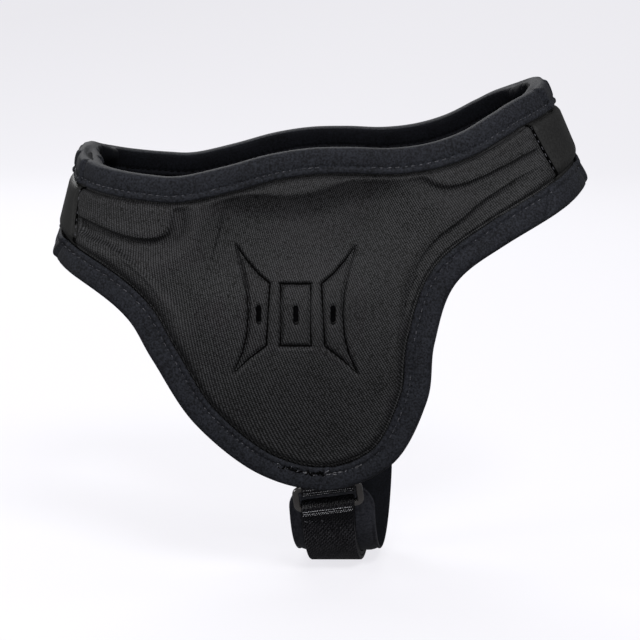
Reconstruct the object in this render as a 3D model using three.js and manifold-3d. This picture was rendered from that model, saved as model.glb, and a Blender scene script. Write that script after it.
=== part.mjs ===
// A soft wrestling ear guard: a padded band that closes round the head, with a moulded cup over each ear,
// taped edges, and a chin strap that hangs from a ring at the tip of each cup.
// Millimetres. +X is the front of the head, -Y its right side and +Z up. The origin lies halfway between
// the ears, on the line through the middle vents.
import * as THREE from 'three';
import { mergeVertices } from 'three/addons/utils/BufferGeometryUtils.js';
import Module from 'manifold-3d';

// The band's middle layer from above: two half curves that meet at the ears
const earToBack = 84;
const earToFront = 98.5;
const halfWidth = 55;
const backSquareness = 3.6;
const frontSquareness = 3;

// The band's height at the ears, and how its walls lean
const earToTop = 59.2;
const earToLobe = 67.7;
const backSlope = 0.265;
const backPivotHeight = 36.7;
const frontSlope = 0.44;
const frontPivotHeight = 63.2;
const tuckAtTop = 3;
const tuckAtLobe = 8;

// The panels: foam between two cloths, thin under the tape and full beyond it
const edgeThick = 3;
const foamOutside = 2.4;
const foamInside = 1.2;
const foamRamp = 8;
const seamGap = 0.5;
const foldShoulder = 4;

// The moulded cup over the ear, raised outside and hollow inside
const cupRise = 6;
const pocketDepth = 5;
const cupLong = 52;
const cupHigh = 54;
const cupForward = 3;
const cupDrop = 7;

// The tape folded over both edges
const tapeWidth = 9.5;
const tapeThick = 1.2;
const tapeClearance = 0.5;
const grooveGap = 0.9;

// The slots through each cup
const ventPitch = 13.4;
const ventWidth = 1.9;
const ventLength = 7;
const ventCount = 3;

// The rings at the tips of the cups, and how they hang
const ringWidth = 26.6;
const ringHeight = 10.4;
const ringThick = 2;
const ringBar = 2;
const ringSideBar = 2.5;
const ringCorner = 3;
const ringTilt = THREE.MathUtils.degToRad(8);
const ringLean = THREE.MathUtils.degToRad(15);
const ringDrop = 2.4;
const slotCorner = 0.5;

// The webbing and the chin pad. strapGrip is the share of chinDrop above which the strap leans with its
// rings, and padRoundness says how nearly the pad's corners are quarter circles.
const webbingWidth = 20;
const webbingThick = 1.6;
const barClearance = 0.3;
const eyeRound = 1;
const eyeBlend = 3;
const anchorLength = 14;
const anchorClearance = 0.8;
const chinDrop = 28.4;
const strapGrip = 0.45;
const strapDrift = 9.6;
const padWidth = 32.5;
const padThick = 2.5;
const padCorner = 10;
const padRoundness = 0.96;
const padClearance = 0.4;
const padForward = 1;

// The band's two edges. An along value runs from -1 at the middle of the back through 0 at the ear to 1 at
// the middle of the front. A height is a share of earToTop above the ear and of earToLobe below it.
// cuts is the number of facets up to the next row.
const ribs = [
  { topAlong: -1.0, topHeight: 0.96, lowAlong: -1.0, lowHeight: 0.296, cuts: 2 },
  { topAlong: -0.854, topHeight: 0.948, lowAlong: -0.86, lowHeight: 0.28, cuts: 2 },
  { topAlong: -0.708, topHeight: 0.905, lowAlong: -0.735, lowHeight: 0.236, cuts: 3 },
  { topAlong: -0.573, topHeight: 0.862, lowAlong: -0.602, lowHeight: 0.118, cuts: 3 },
  { topAlong: -0.444, topHeight: 0.833, lowAlong: -0.499, lowHeight: -0.049, cuts: 3 },
  { topAlong: -0.348, topHeight: 0.829, lowAlong: -0.429, lowHeight: -0.269, cuts: 4 },
  { topAlong: -0.213, topHeight: 0.889, lowAlong: -0.309, lowHeight: -0.62, cuts: 4 },
  { topAlong: -0.085, topHeight: 0.96, lowAlong: -0.115, lowHeight: -0.909, cuts: 4 },
  { topAlong: 0.035, topHeight: 1.0, lowAlong: 0.09, lowHeight: -1.0, cuts: 4 },
  { topAlong: 0.15, topHeight: 1.007, lowAlong: 0.271, lowHeight: -0.846, cuts: 4 },
  { topAlong: 0.26, topHeight: 1.0, lowAlong: 0.3605, lowHeight: -0.49, cuts: 3 },
  { topAlong: 0.362, topHeight: 1.025, lowAlong: 0.3795, lowHeight: -0.17, cuts: 3 },
  { topAlong: 0.46, topHeight: 1.088, lowAlong: 0.433, lowHeight: 0.165, cuts: 2 },
  { topAlong: 0.565, topHeight: 1.197, lowAlong: 0.565, lowHeight: 0.4, cuts: 3 },
  { topAlong: 0.66, topHeight: 1.277, lowAlong: 0.765, lowHeight: 0.634, cuts: 3 },
  { topAlong: 0.835, topHeight: 1.358, lowAlong: 0.872, lowHeight: 0.706, cuts: 2 },
  { topAlong: 1.0, topHeight: 1.372, lowAlong: 1.0, lowHeight: 0.745, cuts: 0 },
];
const backSeamRib = 2;
const lobeRib = 8;
const frontSeamRib = 14;

// The swells and hollows of the side panel's face. along and height place the middle as in the ribs,
// long is a share of earToFront, high and rise are shares of earToTop, and turn is in degrees.
const swells = [
  { along: -0.56, height: 0.62, long: 0.36, high: 0.2, turn: -6, rise: 0.026 },
  { along: 0.56, height: 1.02, long: 0.34, high: 0.16, turn: 24, rise: 0.024 },
  { along: -0.06, height: 0.68, long: 0.4, high: 0.24, turn: 8, rise: -0.026 },
];

// How finely the curves are sampled, and how many facets they are built with
const arcSteps = 240;
const normalStep = 0.5;
const middleRows = 9;
const chinFacets = 28;
const slotFacets = 6;
const cornerFacets = 4;
const foldRows = [tapeThick + tapeClearance, tapeWidth + grooveGap, tapeWidth + foldShoulder];

// Colours and finishes
const looks = {
  panel: { color: 0x4b4b51, roughness: 0.86, metalness: 0 },
  band: { color: 0x47474d, roughness: 0.8, metalness: 0 },
  tape: { color: 0x33343f, roughness: 0.9, metalness: 0 },
  webbing: { color: 0x24252d, roughness: 0.75, metalness: 0 },
  pad: { color: 0x30323e, roughness: 0.82, metalness: 0 },
  ring: { color: 0x3a3a3c, roughness: 0.28, metalness: 0 },
};

// One end of the band's plan, from the ear to the middle of the back or front
function planArc(reach, squareness, direction) {
  const points = [];
  let length = 0;
  for (let i = 0; i <= arcSteps; i += 1) {
    const turn = (i / arcSteps) * (Math.PI / 2);
    const spread = (Math.sin(turn) / reach) ** squareness + (Math.cos(turn) / halfWidth) ** squareness;
    const radius = spread ** (-1 / squareness);
    const point = new THREE.Vector2(direction * radius * Math.sin(turn), -radius * Math.cos(turn));
    length += i > 0 ? point.distanceTo(points[i - 1].point) : 0;
    points.push({ point, length });
  }
  return { points, length, reach, squareness };
}

const backArc = planArc(earToBack, backSquareness, -1);
const frontArc = planArc(earToFront, frontSquareness, 1);

// The plan's point and outward direction at a distance along it from the ear
function planAt(distance) {
  const arc = distance < 0 ? backArc : frontArc;
  const walked = Math.abs(distance);
  const isPastMiddle = walked > arc.length;
  const target = isPastMiddle ? 2 * arc.length - walked : walked;
  let low = 0;
  let high = arcSteps;
  while (high - low > 1) {
    const half = Math.floor((low + high) / 2);
    if (arc.points[half].length <= target) {
      low = half;
    } else {
      high = half;
    }
  }
  const before = arc.points[low];
  const after = arc.points[high];
  const share = (target - before.length) / (after.length - before.length);
  const point = before.point.clone().lerp(after.point, share);
  const power = arc.squareness - 1;
  const outX = (Math.sign(point.x) * (Math.abs(point.x) / arc.reach) ** power) / arc.reach;
  const outY = -((Math.abs(point.y) / halfWidth) ** power) / halfWidth;
  const out = new THREE.Vector2(outX, outY).normalize();
  if (isPastMiddle) {
    point.y = -point.y;
    out.y = -out.y;
  }
  return { point, out };
}

// The band's middle layer at a distance along it and a height
function middleAt(distance, height) {
  const { point, out } = planAt(distance);
  const slope = out.x < 0
    ? backSlope * -out.x * (backPivotHeight - height)
    : frontSlope * out.x * (frontPivotHeight - height);
  const tuck = height > 0
    ? tuckAtTop * (height / earToTop) ** 2
    : tuckAtLobe * (height / earToLobe) ** 2;
  const offset = slope - tuck * out.y ** 2;
  return new THREE.Vector3(point.x + out.x * offset, point.y + out.y * offset, height);
}

// A point that stands off the middle layer, outward where the offset is positive
function placeAt(pattern, offset) {
  const { x, y } = pattern;
  const forward = middleAt(x + normalStep, y).sub(middleAt(x - normalStep, y));
  const upward = middleAt(x, y + normalStep).sub(middleAt(x, y - normalStep));
  const outward = forward.cross(upward).normalize();
  return middleAt(x, y).addScaledVector(outward, offset);
}

// A place on the flat pattern, in millimetres, from shares of the named sizes
function patternPoint(along, height) {
  const reach = along < 0 ? backArc.length : frontArc.length;
  const rise = height < 0 ? earToLobe : earToTop;
  return new THREE.Vector2(along * reach, height * rise);
}

// An edge of the pattern, carried one row past each middle so that it crosses them squarely
function edgeCurve(points) {
  const second = points[1];
  const secondLast = points[points.length - 2];
  const before = new THREE.Vector2(-2 * backArc.length - second.x, second.y);
  const after = new THREE.Vector2(2 * frontArc.length - secondLast.x, secondLast.y);
  return new THREE.SplineCurve([before, ...points, after]);
}

const topEdge = {
  curve: edgeCurve(ribs.map((rib) => patternPoint(rib.topAlong, rib.topHeight))),
  inward: -1,
};
const lowEdge = {
  curve: edgeCurve(ribs.map((rib) => patternPoint(rib.lowAlong, rib.lowHeight))),
  inward: 1,
};

// A pattern point at a distance in from an edge, square to it. rib counts the rows of the table.
function insideEdge(edge, rib, distance) {
  const share = (rib + 1) / (ribs.length + 1);
  const tangent = edge.curve.getTangent(share);
  const across = new THREE.Vector2(-tangent.y, tangent.x).multiplyScalar(edge.inward);
  return edge.curve.getPoint(share).addScaledVector(across, distance);
}

// The pattern points of one column of a panel, from its top edge to its low edge, each with its distance
// from the nearer edge
function columnRows(rib) {
  const topRows = foldRows.map((distance) => ({ point: insideEdge(topEdge, rib, distance), distance }));
  const lowRows = foldRows.map((distance) => ({ point: insideEdge(lowEdge, rib, distance), distance }));
  const upper = topRows[topRows.length - 1];
  const lower = lowRows[lowRows.length - 1];
  const span = upper.point.distanceTo(lower.point);
  const between = [];
  for (let i = 1; i <= middleRows; i += 1) {
    const share = i / (middleRows + 1);
    const distance = upper.distance + span * Math.min(share, 1 - share);
    between.push({ point: upper.point.clone().lerp(lower.point, share), distance });
  }
  return [...topRows, ...between, ...lowRows.reverse()];
}

// A soft bump that is 1 in its middle and 0 past its rim
function bump(point, middle, halfLong, halfHigh, turn) {
  const away = point.clone().sub(middle).rotateAround(new THREE.Vector2(), -turn);
  const reach = (away.x / halfLong) ** 2 + (away.y / halfHigh) ** 2;
  return reach < 1 ? (1 - reach) ** 2 : 0;
}

// How far a panel's two faces stand off its middle layer
function faceOffsets(row) {
  const foam = THREE.MathUtils.smoothstep(row.distance, foldRows[1], foldRows[1] + foamRamp);
  const cup = bump(row.point, new THREE.Vector2(cupForward, -cupDrop), cupLong, cupHigh, 0);
  let relief = 0;
  for (const swell of swells) {
    const middle = patternPoint(swell.along, swell.height);
    const turn = THREE.MathUtils.degToRad(swell.turn);
    relief += swell.rise * earToTop
      * bump(row.point, middle, swell.long * earToFront, swell.high * earToTop, turn);
  }
  return {
    outer: edgeThick / 2 + foam * (foamOutside + relief + cup * cupRise),
    inner: edgeThick / 2 + foam * (foamInside - cup * pocketDepth),
  };
}

// One cross section of a panel as a closed ring: down its outer face, then up its inner face.
// side is 1 on the head's right and -1 on its left, and nudge moves the section along the band.
function panelRing(rib, side, nudge) {
  const outerFace = [];
  const innerFace = [];
  for (const row of columnRows(rib)) {
    const offsets = faceOffsets(row);
    const moved = row.point.clone().add(new THREE.Vector2(nudge, 0));
    outerFace.push(placeAt(moved, offsets.outer));
    innerFace.push(placeAt(moved, -offsets.inner));
  }
  const ring = [...outerFace, ...innerFace.reverse()];
  for (const point of ring) {
    point.y *= side;
  }
  return ring;
}

// One cross section of the tape round an edge: a hook with the panel's edge in its mouth
function tapeRing(edge, rib, side) {
  const slot = edgeThick / 2 + tapeClearance;
  const skin = slot + tapeThick;
  const hook = [
    [tapeWidth, skin],
    [tapeThick, skin],
    [0, tapeThick],
    [0, -tapeThick],
    [tapeThick, -skin],
    [tapeWidth, -skin],
    [tapeWidth, -slot],
    [tapeThick, -slot],
    [tapeThick, slot],
    [tapeWidth, slot],
  ];
  // The hook runs up over a top edge, and down round a low one
  const order = edge.inward < 0 ? [...hook].reverse() : hook;
  return order.map(([distance, offset]) => {
    const point = placeAt(insideEdge(edge, rib, distance), offset);
    point.y *= side;
    return point;
  });
}

// A closed body from cross sections in order round the band. Each is a ring with as many points as the
// others. The body closes on itself, or has an end wall at each end.
function loft(rings, closes) {
  const size = rings[0].length;
  const positions = rings.flat().flatMap((point) => point.toArray());
  const faces = [];
  const pairs = closes ? rings.length : rings.length - 1;
  for (let i = 0; i < pairs; i += 1) {
    const here = i * size;
    const next = ((i + 1) % rings.length) * size;
    for (let k = 0; k < size; k += 1) {
      const after = (k + 1) % size;
      faces.push(here + k, here + after, next + after);
      faces.push(here + k, next + after, next + k);
    }
  }
  if (!closes) {
    const end = (rings.length - 1) * size;
    for (let k = 0; k < size / 2 - 1; k += 1) {
      const across = size - 1 - k;
      faces.push(across, across - 1, k + 1);
      faces.push(across, k + 1, k);
      faces.push(end + k, end + k + 1, end + across - 1);
      faces.push(end + k, end + across - 1, end + across);
    }
  }
  const geometry = new THREE.BufferGeometry();
  geometry.setAttribute('position', new THREE.Float32BufferAttribute(positions, 3));
  geometry.setIndex(faces);
  return geometry;
}

// The columns from one rib to another, both included
function columnsBetween(firstRib, lastRib) {
  const columns = [];
  for (let rib = firstRib; rib < lastRib; rib += 1) {
    for (let cut = 0; cut < ribs[rib].cuts; cut += 1) {
      columns.push(rib + cut / ribs[rib].cuts);
    }
  }
  return [...columns, lastRib];
}

// Cross sections of a panel that lies on one side of the head, half a seam gap in from both its ends.
// Sections always run the same way round the band: forward on the right side and backward on the left.
function sidePanel(side) {
  const columns = columnsBetween(backSeamRib, frontSeamRib);
  const rings = columns.map((rib) => {
    const isEnd = rib === backSeamRib || rib === frontSeamRib;
    const inward = rib === backSeamRib ? 1 : -1;
    return panelRing(rib, side, isEnd ? (inward * seamGap) / 2 : 0);
  });
  return loft(side > 0 ? rings : rings.reverse(), false);
}

// A panel that crosses the middle of the back or front, from seam to seam
function endPanel(seamRib, middleRib) {
  const columns = columnsBetween(Math.min(seamRib, middleRib), Math.max(seamRib, middleRib));
  const isFront = middleRib > seamRib;
  const nudgeAt = (rib) => {
    if (rib !== seamRib) {
      return 0;
    }
    return isFront ? seamGap / 2 : -seamGap / 2;
  };
  const right = columns.map((rib) => panelRing(rib, 1, nudgeAt(rib)));
  const left = columns.filter((rib) => rib !== middleRib)
    .map((rib) => panelRing(rib, -1, nudgeAt(rib)))
    .reverse();
  return loft(isFront ? [...right, ...left] : [...left, ...right], false);
}

function tapeLoop(edge) {
  const lastRib = ribs.length - 1;
  const columns = columnsBetween(0, lastRib);
  const right = columns.map((rib) => tapeRing(edge, rib, 1));
  const left = columns.slice(1, -1).map((rib) => tapeRing(edge, rib, -1)).reverse();
  return loft([...right, ...left], true);
}

const wasm = await Module();
wasm.setup();

// A mesh as a solid that can be cut
function toSolid(geometry) {
  const bare = geometry.clone();
  bare.deleteAttribute('normal');
  bare.deleteAttribute('uv');
  const merged = mergeVertices(bare, 1e-4);
  return new wasm.Manifold(new wasm.Mesh({
    numProp: 3,
    vertProperties: new Float32Array(merged.attributes.position.array),
    triVerts: new Uint32Array(merged.index.array),
  }));
}

function fromSolid(solid) {
  const mesh = solid.getMesh();
  const geometry = new THREE.BufferGeometry();
  geometry.setAttribute('position', new THREE.Float32BufferAttribute(mesh.vertProperties, 3));
  geometry.setIndex([...mesh.triVerts]);
  return geometry;
}

// A slot with round ends, as a cutter that passes right through the cup
function ventCutter(index, side) {
  const radius = ventWidth / 2;
  const straight = (ventLength - ventWidth) / 2;
  const outline = new THREE.Shape();
  outline.moveTo(radius, -straight);
  outline.lineTo(radius, straight);
  outline.absarc(0, straight, radius, 0, Math.PI);
  outline.lineTo(-radius, -straight);
  outline.absarc(0, -straight, radius, Math.PI, 2 * Math.PI);
  const depth = 2 * (cupRise + foamOutside + edgeThick) + pocketDepth;
  const cutter = new THREE.ExtrudeGeometry(outline, { depth, bevelEnabled: false, curveSegments: slotFacets });
  cutter.translate(0, 0, -depth / 2);
  cutter.rotateX(Math.PI / 2);
  cutter.translate((index - (ventCount - 1) / 2) * ventPitch, -side * (halfWidth + cupRise / 2), 0);
  return cutter;
}

function cutVents(panel, side) {
  let solid = toSolid(panel);
  for (let i = 0; i < ventCount; i += 1) {
    solid = solid.subtract(toSolid(ventCutter(i, side)));
  }
  return fromSolid(solid);
}

// The place at the tip of a cup that the strap hangs from, seen along X: its base point on the middle
// layer's low edge, and the directions up the layer and in towards the head
const lobePoint = lowEdge.curve.getPoint((lobeRib + 1) / (ribs.length + 1));
const lobeBase = middleAt(lobePoint.x, lobePoint.y);
const lobeAbove = middleAt(lobePoint.x, lobePoint.y + anchorLength);
const lobeUp = new THREE.Vector2(lobeAbove.y - lobeBase.y, lobeAbove.z - lobeBase.z).normalize();
const lobeIn = new THREE.Vector2(lobeUp.y, -lobeUp.x);
const anchorFace = edgeThick / 2 + tapeClearance + tapeThick + anchorClearance;
const eyeInner = ringBar / 2 + barClearance;
const eyeOuter = eyeInner + webbingThick;

function lobeSection(inward, upward) {
  return new THREE.Vector2(lobeBase.y, lobeBase.z)
    .addScaledVector(lobeIn, inward)
    .addScaledVector(lobeUp, upward);
}

// The ring's two bars seen along X, and the directions along its hang and in from it
const ringUp = new THREE.Vector2(-Math.sin(ringLean), Math.cos(ringLean));
const ringIn = new THREE.Vector2(Math.cos(ringLean), Math.sin(ringLean));
const upperBar = lobeSection(anchorFace + eyeOuter, -ringDrop);
const barSpacing = ringHeight - ringBar;
const lowerBar = upperBar.clone().addScaledVector(ringUp, -barSpacing);

function barSection(bar, inward, upward) {
  return bar.clone().addScaledVector(ringIn, inward).addScaledVector(ringUp, upward);
}

// A square eye for a bar, as the hole in a section
function eyeHole(bar, side) {
  const corners = [[-1, -1], [1, -1], [1, 1], [-1, 1]];
  const hole = corners.map(([a, b]) => barSection(bar, a * eyeInner, b * eyeInner));
  return new THREE.Path(mirroredOutline(hole, side));
}

// An outline drawn for the right side, or its mirror image for the left, run the same way round
function mirroredOutline(points, side) {
  const mirrored = points.map((point) => new THREE.Vector2(point.x * side, point.y));
  return side > 0 ? mirrored : mirrored.reverse();
}

// How far forward the strap lies at a place across the head
function strapMiddle(y) {
  const span = -strapStart.x;
  const share = THREE.MathUtils.clamp((y + span) / (2 * span), 0, 1);
  return lobeBase.x + strapDrift * share;
}

// Carries a section drawn in Y and Z across the webbing's width. It leans with the tilted ring where
// grip is 1.
function webbingBody(shape, gripAt) {
  const body = new THREE.ExtrudeGeometry(shape, { depth: webbingWidth, bevelEnabled: false });
  const place = body.attributes.position;
  for (let i = 0; i < place.count; i += 1) {
    const y = place.getX(i);
    const z = place.getY(i);
    const across = place.getZ(i) - webbingWidth / 2;
    const lift = Math.tan(ringTilt) * across * gripAt(z);
    place.setXYZ(i, strapMiddle(y) + across, y - Math.sign(y) * ringUp.x * lift, z + ringUp.y * lift);
  }
  return body;
}

// The webbing sewn behind the cup's tip: a double leg that ends in an eye round the ring's upper bar
function anchor(side) {
  const legInner = anchorFace + 2 * webbingThick;
  const eyeBack = anchorFace + 2 * eyeOuter;
  const eyeTop = eyeOuter - ringDrop;
  const outline = [
    lobeSection(anchorFace, anchorLength),
    lobeSection(anchorFace, eyeTop - 2 * eyeOuter + eyeRound),
    lobeSection(anchorFace + eyeRound, eyeTop - 2 * eyeOuter),
    lobeSection(eyeBack - eyeRound, eyeTop - 2 * eyeOuter),
    lobeSection(eyeBack, eyeTop - 2 * eyeOuter + eyeRound),
    lobeSection(eyeBack, eyeTop - eyeRound),
    lobeSection(legInner, eyeTop + eyeRound),
    lobeSection(legInner, anchorLength),
  ];
  const shape = new THREE.Shape(mirroredOutline(outline, side));
  shape.holes.push(eyeHole(upperBar, side));
  return webbingBody(shape, () => 1);
}

// The strap's middle line under the chin is part of an ellipse that leaves the rings along their hang
const strapStart = barSection(lowerBar, eyeOuter - webbingThick, 0);
const chinRise = Math.tan(ringLean) * chinDrop;
const startSine = chinRise / (-strapStart.x - chinRise);
const chinEllipse = {
  startTurn: Math.asin(startSine),
  halfWide: -strapStart.x / Math.sqrt(1 - startSine ** 2),
  halfDeep: chinDrop / (1 - startSine),
  height: strapStart.y - chinDrop + chinDrop / (1 - startSine),
};

// A point of the ellipse moved outward, away from the head
function chinPoint(turn, outward) {
  return new THREE.Vector2(
    -(chinEllipse.halfWide + outward) * Math.cos(turn),
    chinEllipse.height - (chinEllipse.halfDeep + outward) * Math.sin(turn),
  );
}

function turnsBetween(first, last) {
  const turns = [];
  for (let i = 0; i <= chinFacets; i += 1) {
    turns.push(first + ((last - first) * i) / chinFacets);
  }
  return turns;
}

// The eye at the right end of the strap, from the strap's outer face round to its inner face
function strapEye() {
  const eye = [
    [eyeOuter - 2 * webbingThick, -eyeOuter - 2 * eyeRound],
    [-eyeOuter, eyeRound - eyeOuter],
    [-eyeOuter, eyeOuter - eyeRound],
    [eyeRound - eyeOuter, eyeOuter],
    [eyeOuter - eyeRound, eyeOuter],
    [eyeOuter, eyeOuter - eyeRound],
  ];
  return eye.map(([inward, upward]) => barSection(lowerBar, inward, upward));
}

function chinStrap() {
  const turns = turnsBetween(chinEllipse.startTurn, Math.PI - chinEllipse.startTurn);
  const eyeReach = eyeOuter + eyeBlend;
  const outer = turns.map((turn) => chinPoint(turn, webbingThick))
    .filter((point) => point.y < lowerBar.y - eyeReach);
  const inner = turns.map((turn) => chinPoint(turn, -webbingThick));
  const rightEye = strapEye();
  const leftEye = mirroredOutline(rightEye, -1);
  const shape = new THREE.Shape([...rightEye, ...inner, ...leftEye, ...outer.reverse()]);
  shape.holes.push(eyeHole(lowerBar, 1), eyeHole(lowerBar, -1));
  const bottom = strapStart.y - chinDrop;
  const gripAt = (z) => THREE.MathUtils.smoothstep(z, bottom + chinDrop * strapGrip, lowerBar.y - eyeOuter);
  return webbingBody(shape, gripAt);
}

// The pad lies on the strap's inner face and reaches up behind the rings. Its corners are round.
function chinPad() {
  const offset = -(webbingThick + padClearance + padThick / 2);
  const deep = chinEllipse.halfDeep + offset;
  const firstTurn = Math.asin((chinEllipse.height - upperBar.y) / deep);
  const turns = turnsBetween(firstTurn, Math.PI - firstTurn);
  const length = turns.reduce((sum, turn, i) => {
    return i === 0 ? 0 : sum + chinPoint(turn, offset).distanceTo(chinPoint(turns[i - 1], offset));
  }, 0);
  const rings = turns.map((turn, i) => {
    const fromEnd = (length * Math.min(i, chinFacets - i)) / chinFacets;
    const corner = Math.max(0, padCorner - fromEnd);
    const half = padWidth / 2 - padCorner + Math.sqrt(padCorner ** 2 - corner ** 2 * padRoundness);
    const outer = chinPoint(turn, offset + padThick / 2);
    const inner = chinPoint(turn, offset - padThick / 2);
    const middle = strapMiddle(outer.x) + padForward;
    return [
      new THREE.Vector3(middle - half, inner.x, inner.y),
      new THREE.Vector3(middle + half, inner.x, inner.y),
      new THREE.Vector3(middle + half, outer.x, outer.y),
      new THREE.Vector3(middle - half, outer.x, outer.y),
    ];
  });
  return loft(rings, false);
}

// A rounded rectangle about the origin
function roundedOutline(kind, width, height, corner) {
  const x = width / 2 - corner;
  const y = height / 2 - corner;
  const outline = new kind();
  outline.moveTo(x, -height / 2);
  outline.absarc(x, -y, corner, -Math.PI / 2, 0);
  outline.absarc(x, y, corner, 0, Math.PI / 2);
  outline.absarc(-x, y, corner, Math.PI / 2, Math.PI);
  outline.absarc(-x, -y, corner, Math.PI, 1.5 * Math.PI);
  return outline;
}

function ringBody() {
  const shape = roundedOutline(THREE.Shape, ringWidth, ringHeight, ringCorner);
  const slotWidth = ringWidth - 2 * ringSideBar;
  const slotHeight = ringHeight - 2 * ringBar;
  shape.holes.push(roundedOutline(THREE.Path, slotWidth, slotHeight, slotCorner));
  const options = { depth: ringThick, bevelEnabled: false, curveSegments: cornerFacets };
  const body = new THREE.ExtrudeGeometry(shape, options);
  body.translate(0, 0, -ringThick / 2);
  body.rotateX(Math.PI / 2);
  return body;
}

function named(name, geometry, look) {
  const mesh = new THREE.Mesh(geometry, new THREE.MeshStandardMaterial(looks[look]));
  mesh.name = name;
  return mesh;
}

const guard = new THREE.Group();
const sides = [{ word: 'right', side: 1 }, { word: 'left', side: -1 }];

for (const { word, side } of sides) {
  guard.add(named(`side_panel_${word}`, cutVents(sidePanel(side), side), 'panel'));
}
guard.add(named('front_panel', endPanel(frontSeamRib, ribs.length - 1), 'band'));
guard.add(named('back_panel', endPanel(backSeamRib, 0), 'band'));
guard.add(named('top_binding', tapeLoop(topEdge), 'tape'));
guard.add(named('bottom_binding', tapeLoop(lowEdge), 'tape'));

for (const { word, side } of sides) {
  guard.add(named(`strap_anchor_${word}`, anchor(side), 'webbing'));
  const ring = named(`strap_ring_${word}`, ringBody(), 'ring');
  const centre = upperBar.clone().lerp(lowerBar, 0.5);
  ring.position.set(strapMiddle(side * upperBar.x), side * centre.x, centre.y);
  ring.rotation.set(side * ringLean, -ringTilt, 0);
  guard.add(ring);
}
guard.add(named('chin_strap', chinStrap(), 'webbing'));
guard.add(named('chin_pad', chinPad(), 'pad'));

export default guard;
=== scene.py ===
import math
import bpy
import numpy as np
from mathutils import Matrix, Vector


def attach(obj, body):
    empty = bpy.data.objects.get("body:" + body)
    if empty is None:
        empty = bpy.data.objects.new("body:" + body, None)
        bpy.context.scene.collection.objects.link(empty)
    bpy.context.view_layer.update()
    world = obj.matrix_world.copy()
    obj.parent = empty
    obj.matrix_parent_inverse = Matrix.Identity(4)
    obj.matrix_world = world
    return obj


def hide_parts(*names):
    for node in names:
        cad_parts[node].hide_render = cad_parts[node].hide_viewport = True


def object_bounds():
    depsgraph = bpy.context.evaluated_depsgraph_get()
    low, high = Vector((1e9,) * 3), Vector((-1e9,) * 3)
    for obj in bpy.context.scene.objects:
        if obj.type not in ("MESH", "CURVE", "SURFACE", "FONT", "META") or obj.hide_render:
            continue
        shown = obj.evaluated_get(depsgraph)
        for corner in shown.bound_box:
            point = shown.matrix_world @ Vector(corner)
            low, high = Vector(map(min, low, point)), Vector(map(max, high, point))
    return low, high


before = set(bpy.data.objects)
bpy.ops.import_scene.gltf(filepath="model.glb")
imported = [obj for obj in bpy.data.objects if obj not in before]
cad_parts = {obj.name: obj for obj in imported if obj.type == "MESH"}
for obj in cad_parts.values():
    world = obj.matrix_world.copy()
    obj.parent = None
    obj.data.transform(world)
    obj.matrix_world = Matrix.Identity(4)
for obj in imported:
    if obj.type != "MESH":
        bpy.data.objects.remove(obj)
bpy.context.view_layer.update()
dice = np.random.default_rng(11)
print("frame loaded")

# Every length below is in millimetres, and makePiece turns them into metres.
# along runs round the band from the ear: back of it is negative, front of it positive.
millimetre = 0.001
clothUnit = 0.01  # the cloth map counts in hundreds of millimetres
sides = {"right": 1, "left": -1}
toLeft = np.array([1, -1, 1])
band = {
    "earToBack": 84.0, "earToFront": 98.5, "halfWidth": 55.0,
    "backSquareness": 3.6, "frontSquareness": 3.0,
    "earToTop": 59.2, "earToLobe": 67.7,
    "backSlope": 0.265, "backPivotHeight": 36.7,
    "frontSlope": 0.44, "frontPivotHeight": 63.2,
    "tuckAtTop": 3.0, "tuckAtLobe": 8.0,
}

# the two edges of the band: along and height of the top edge, then of the low edge, as shares
edgeRows = [
    (-1.0, 0.96, -1.0, 0.296), (-0.854, 0.948, -0.86, 0.28), (-0.708, 0.905, -0.735, 0.236),
    (-0.573, 0.862, -0.602, 0.118), (-0.444, 0.833, -0.499, -0.049), (-0.348, 0.829, -0.429, -0.269),
    (-0.213, 0.889, -0.309, -0.62), (-0.085, 0.96, -0.115, -0.909), (0.035, 1.0, 0.09, -1.0),
    (0.15, 1.007, 0.271, -0.846), (0.26, 1.0, 0.3605, -0.49), (0.362, 1.025, 0.3795, -0.17),
    (0.46, 1.088, 0.433, 0.165), (0.565, 1.197, 0.565, 0.4), (0.66, 1.277, 0.765, 0.634),
    (0.835, 1.358, 0.872, 0.706), (1.0, 1.372, 1.0, 0.745),
]
lastRow = len(edgeRows) - 1
backSeamRow, lobeRow, frontSeamRow = 2.2, 8, 14  # the seams and the cup's tip, as rows of the table
seamRows = (backSeamRow, frontSeamRow)


# from 0 at low to 1 at high, with level ends
def smooth(low, high, value):
    share = np.clip((value - low) / (high - low), 0, 1)
    return share * share * (3 - 2 * share)


def hump(value, width):
    return np.exp(-(value / width) ** 2)


def unit(vectors):
    return vectors / np.linalg.norm(vectors, axis=-1, keepdims=True)


# how far each point of a line lies from its start, along the line
def walkedAlong(points):
    return np.concatenate([[0], np.cumsum(np.linalg.norm(np.diff(points, axis=0), axis=1))])


def planArc(reach, squareness, direction):
    turn = np.linspace(0, math.pi / 2, 1200)
    spread = (np.sin(turn) / reach) ** squareness + (np.cos(turn) / band["halfWidth"]) ** squareness
    radius = spread ** (-1 / squareness)
    x, y = direction * radius * np.sin(turn), -radius * np.cos(turn)
    walked = walkedAlong(np.stack([x, y], -1))
    return {"x": x, "y": y, "walked": walked, "length": walked[-1], "reach": reach, "power": squareness - 1}


backArc = planArc(band["earToBack"], band["backSquareness"], -1)
frontArc = planArc(band["earToFront"], band["frontSquareness"], 1)


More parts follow.
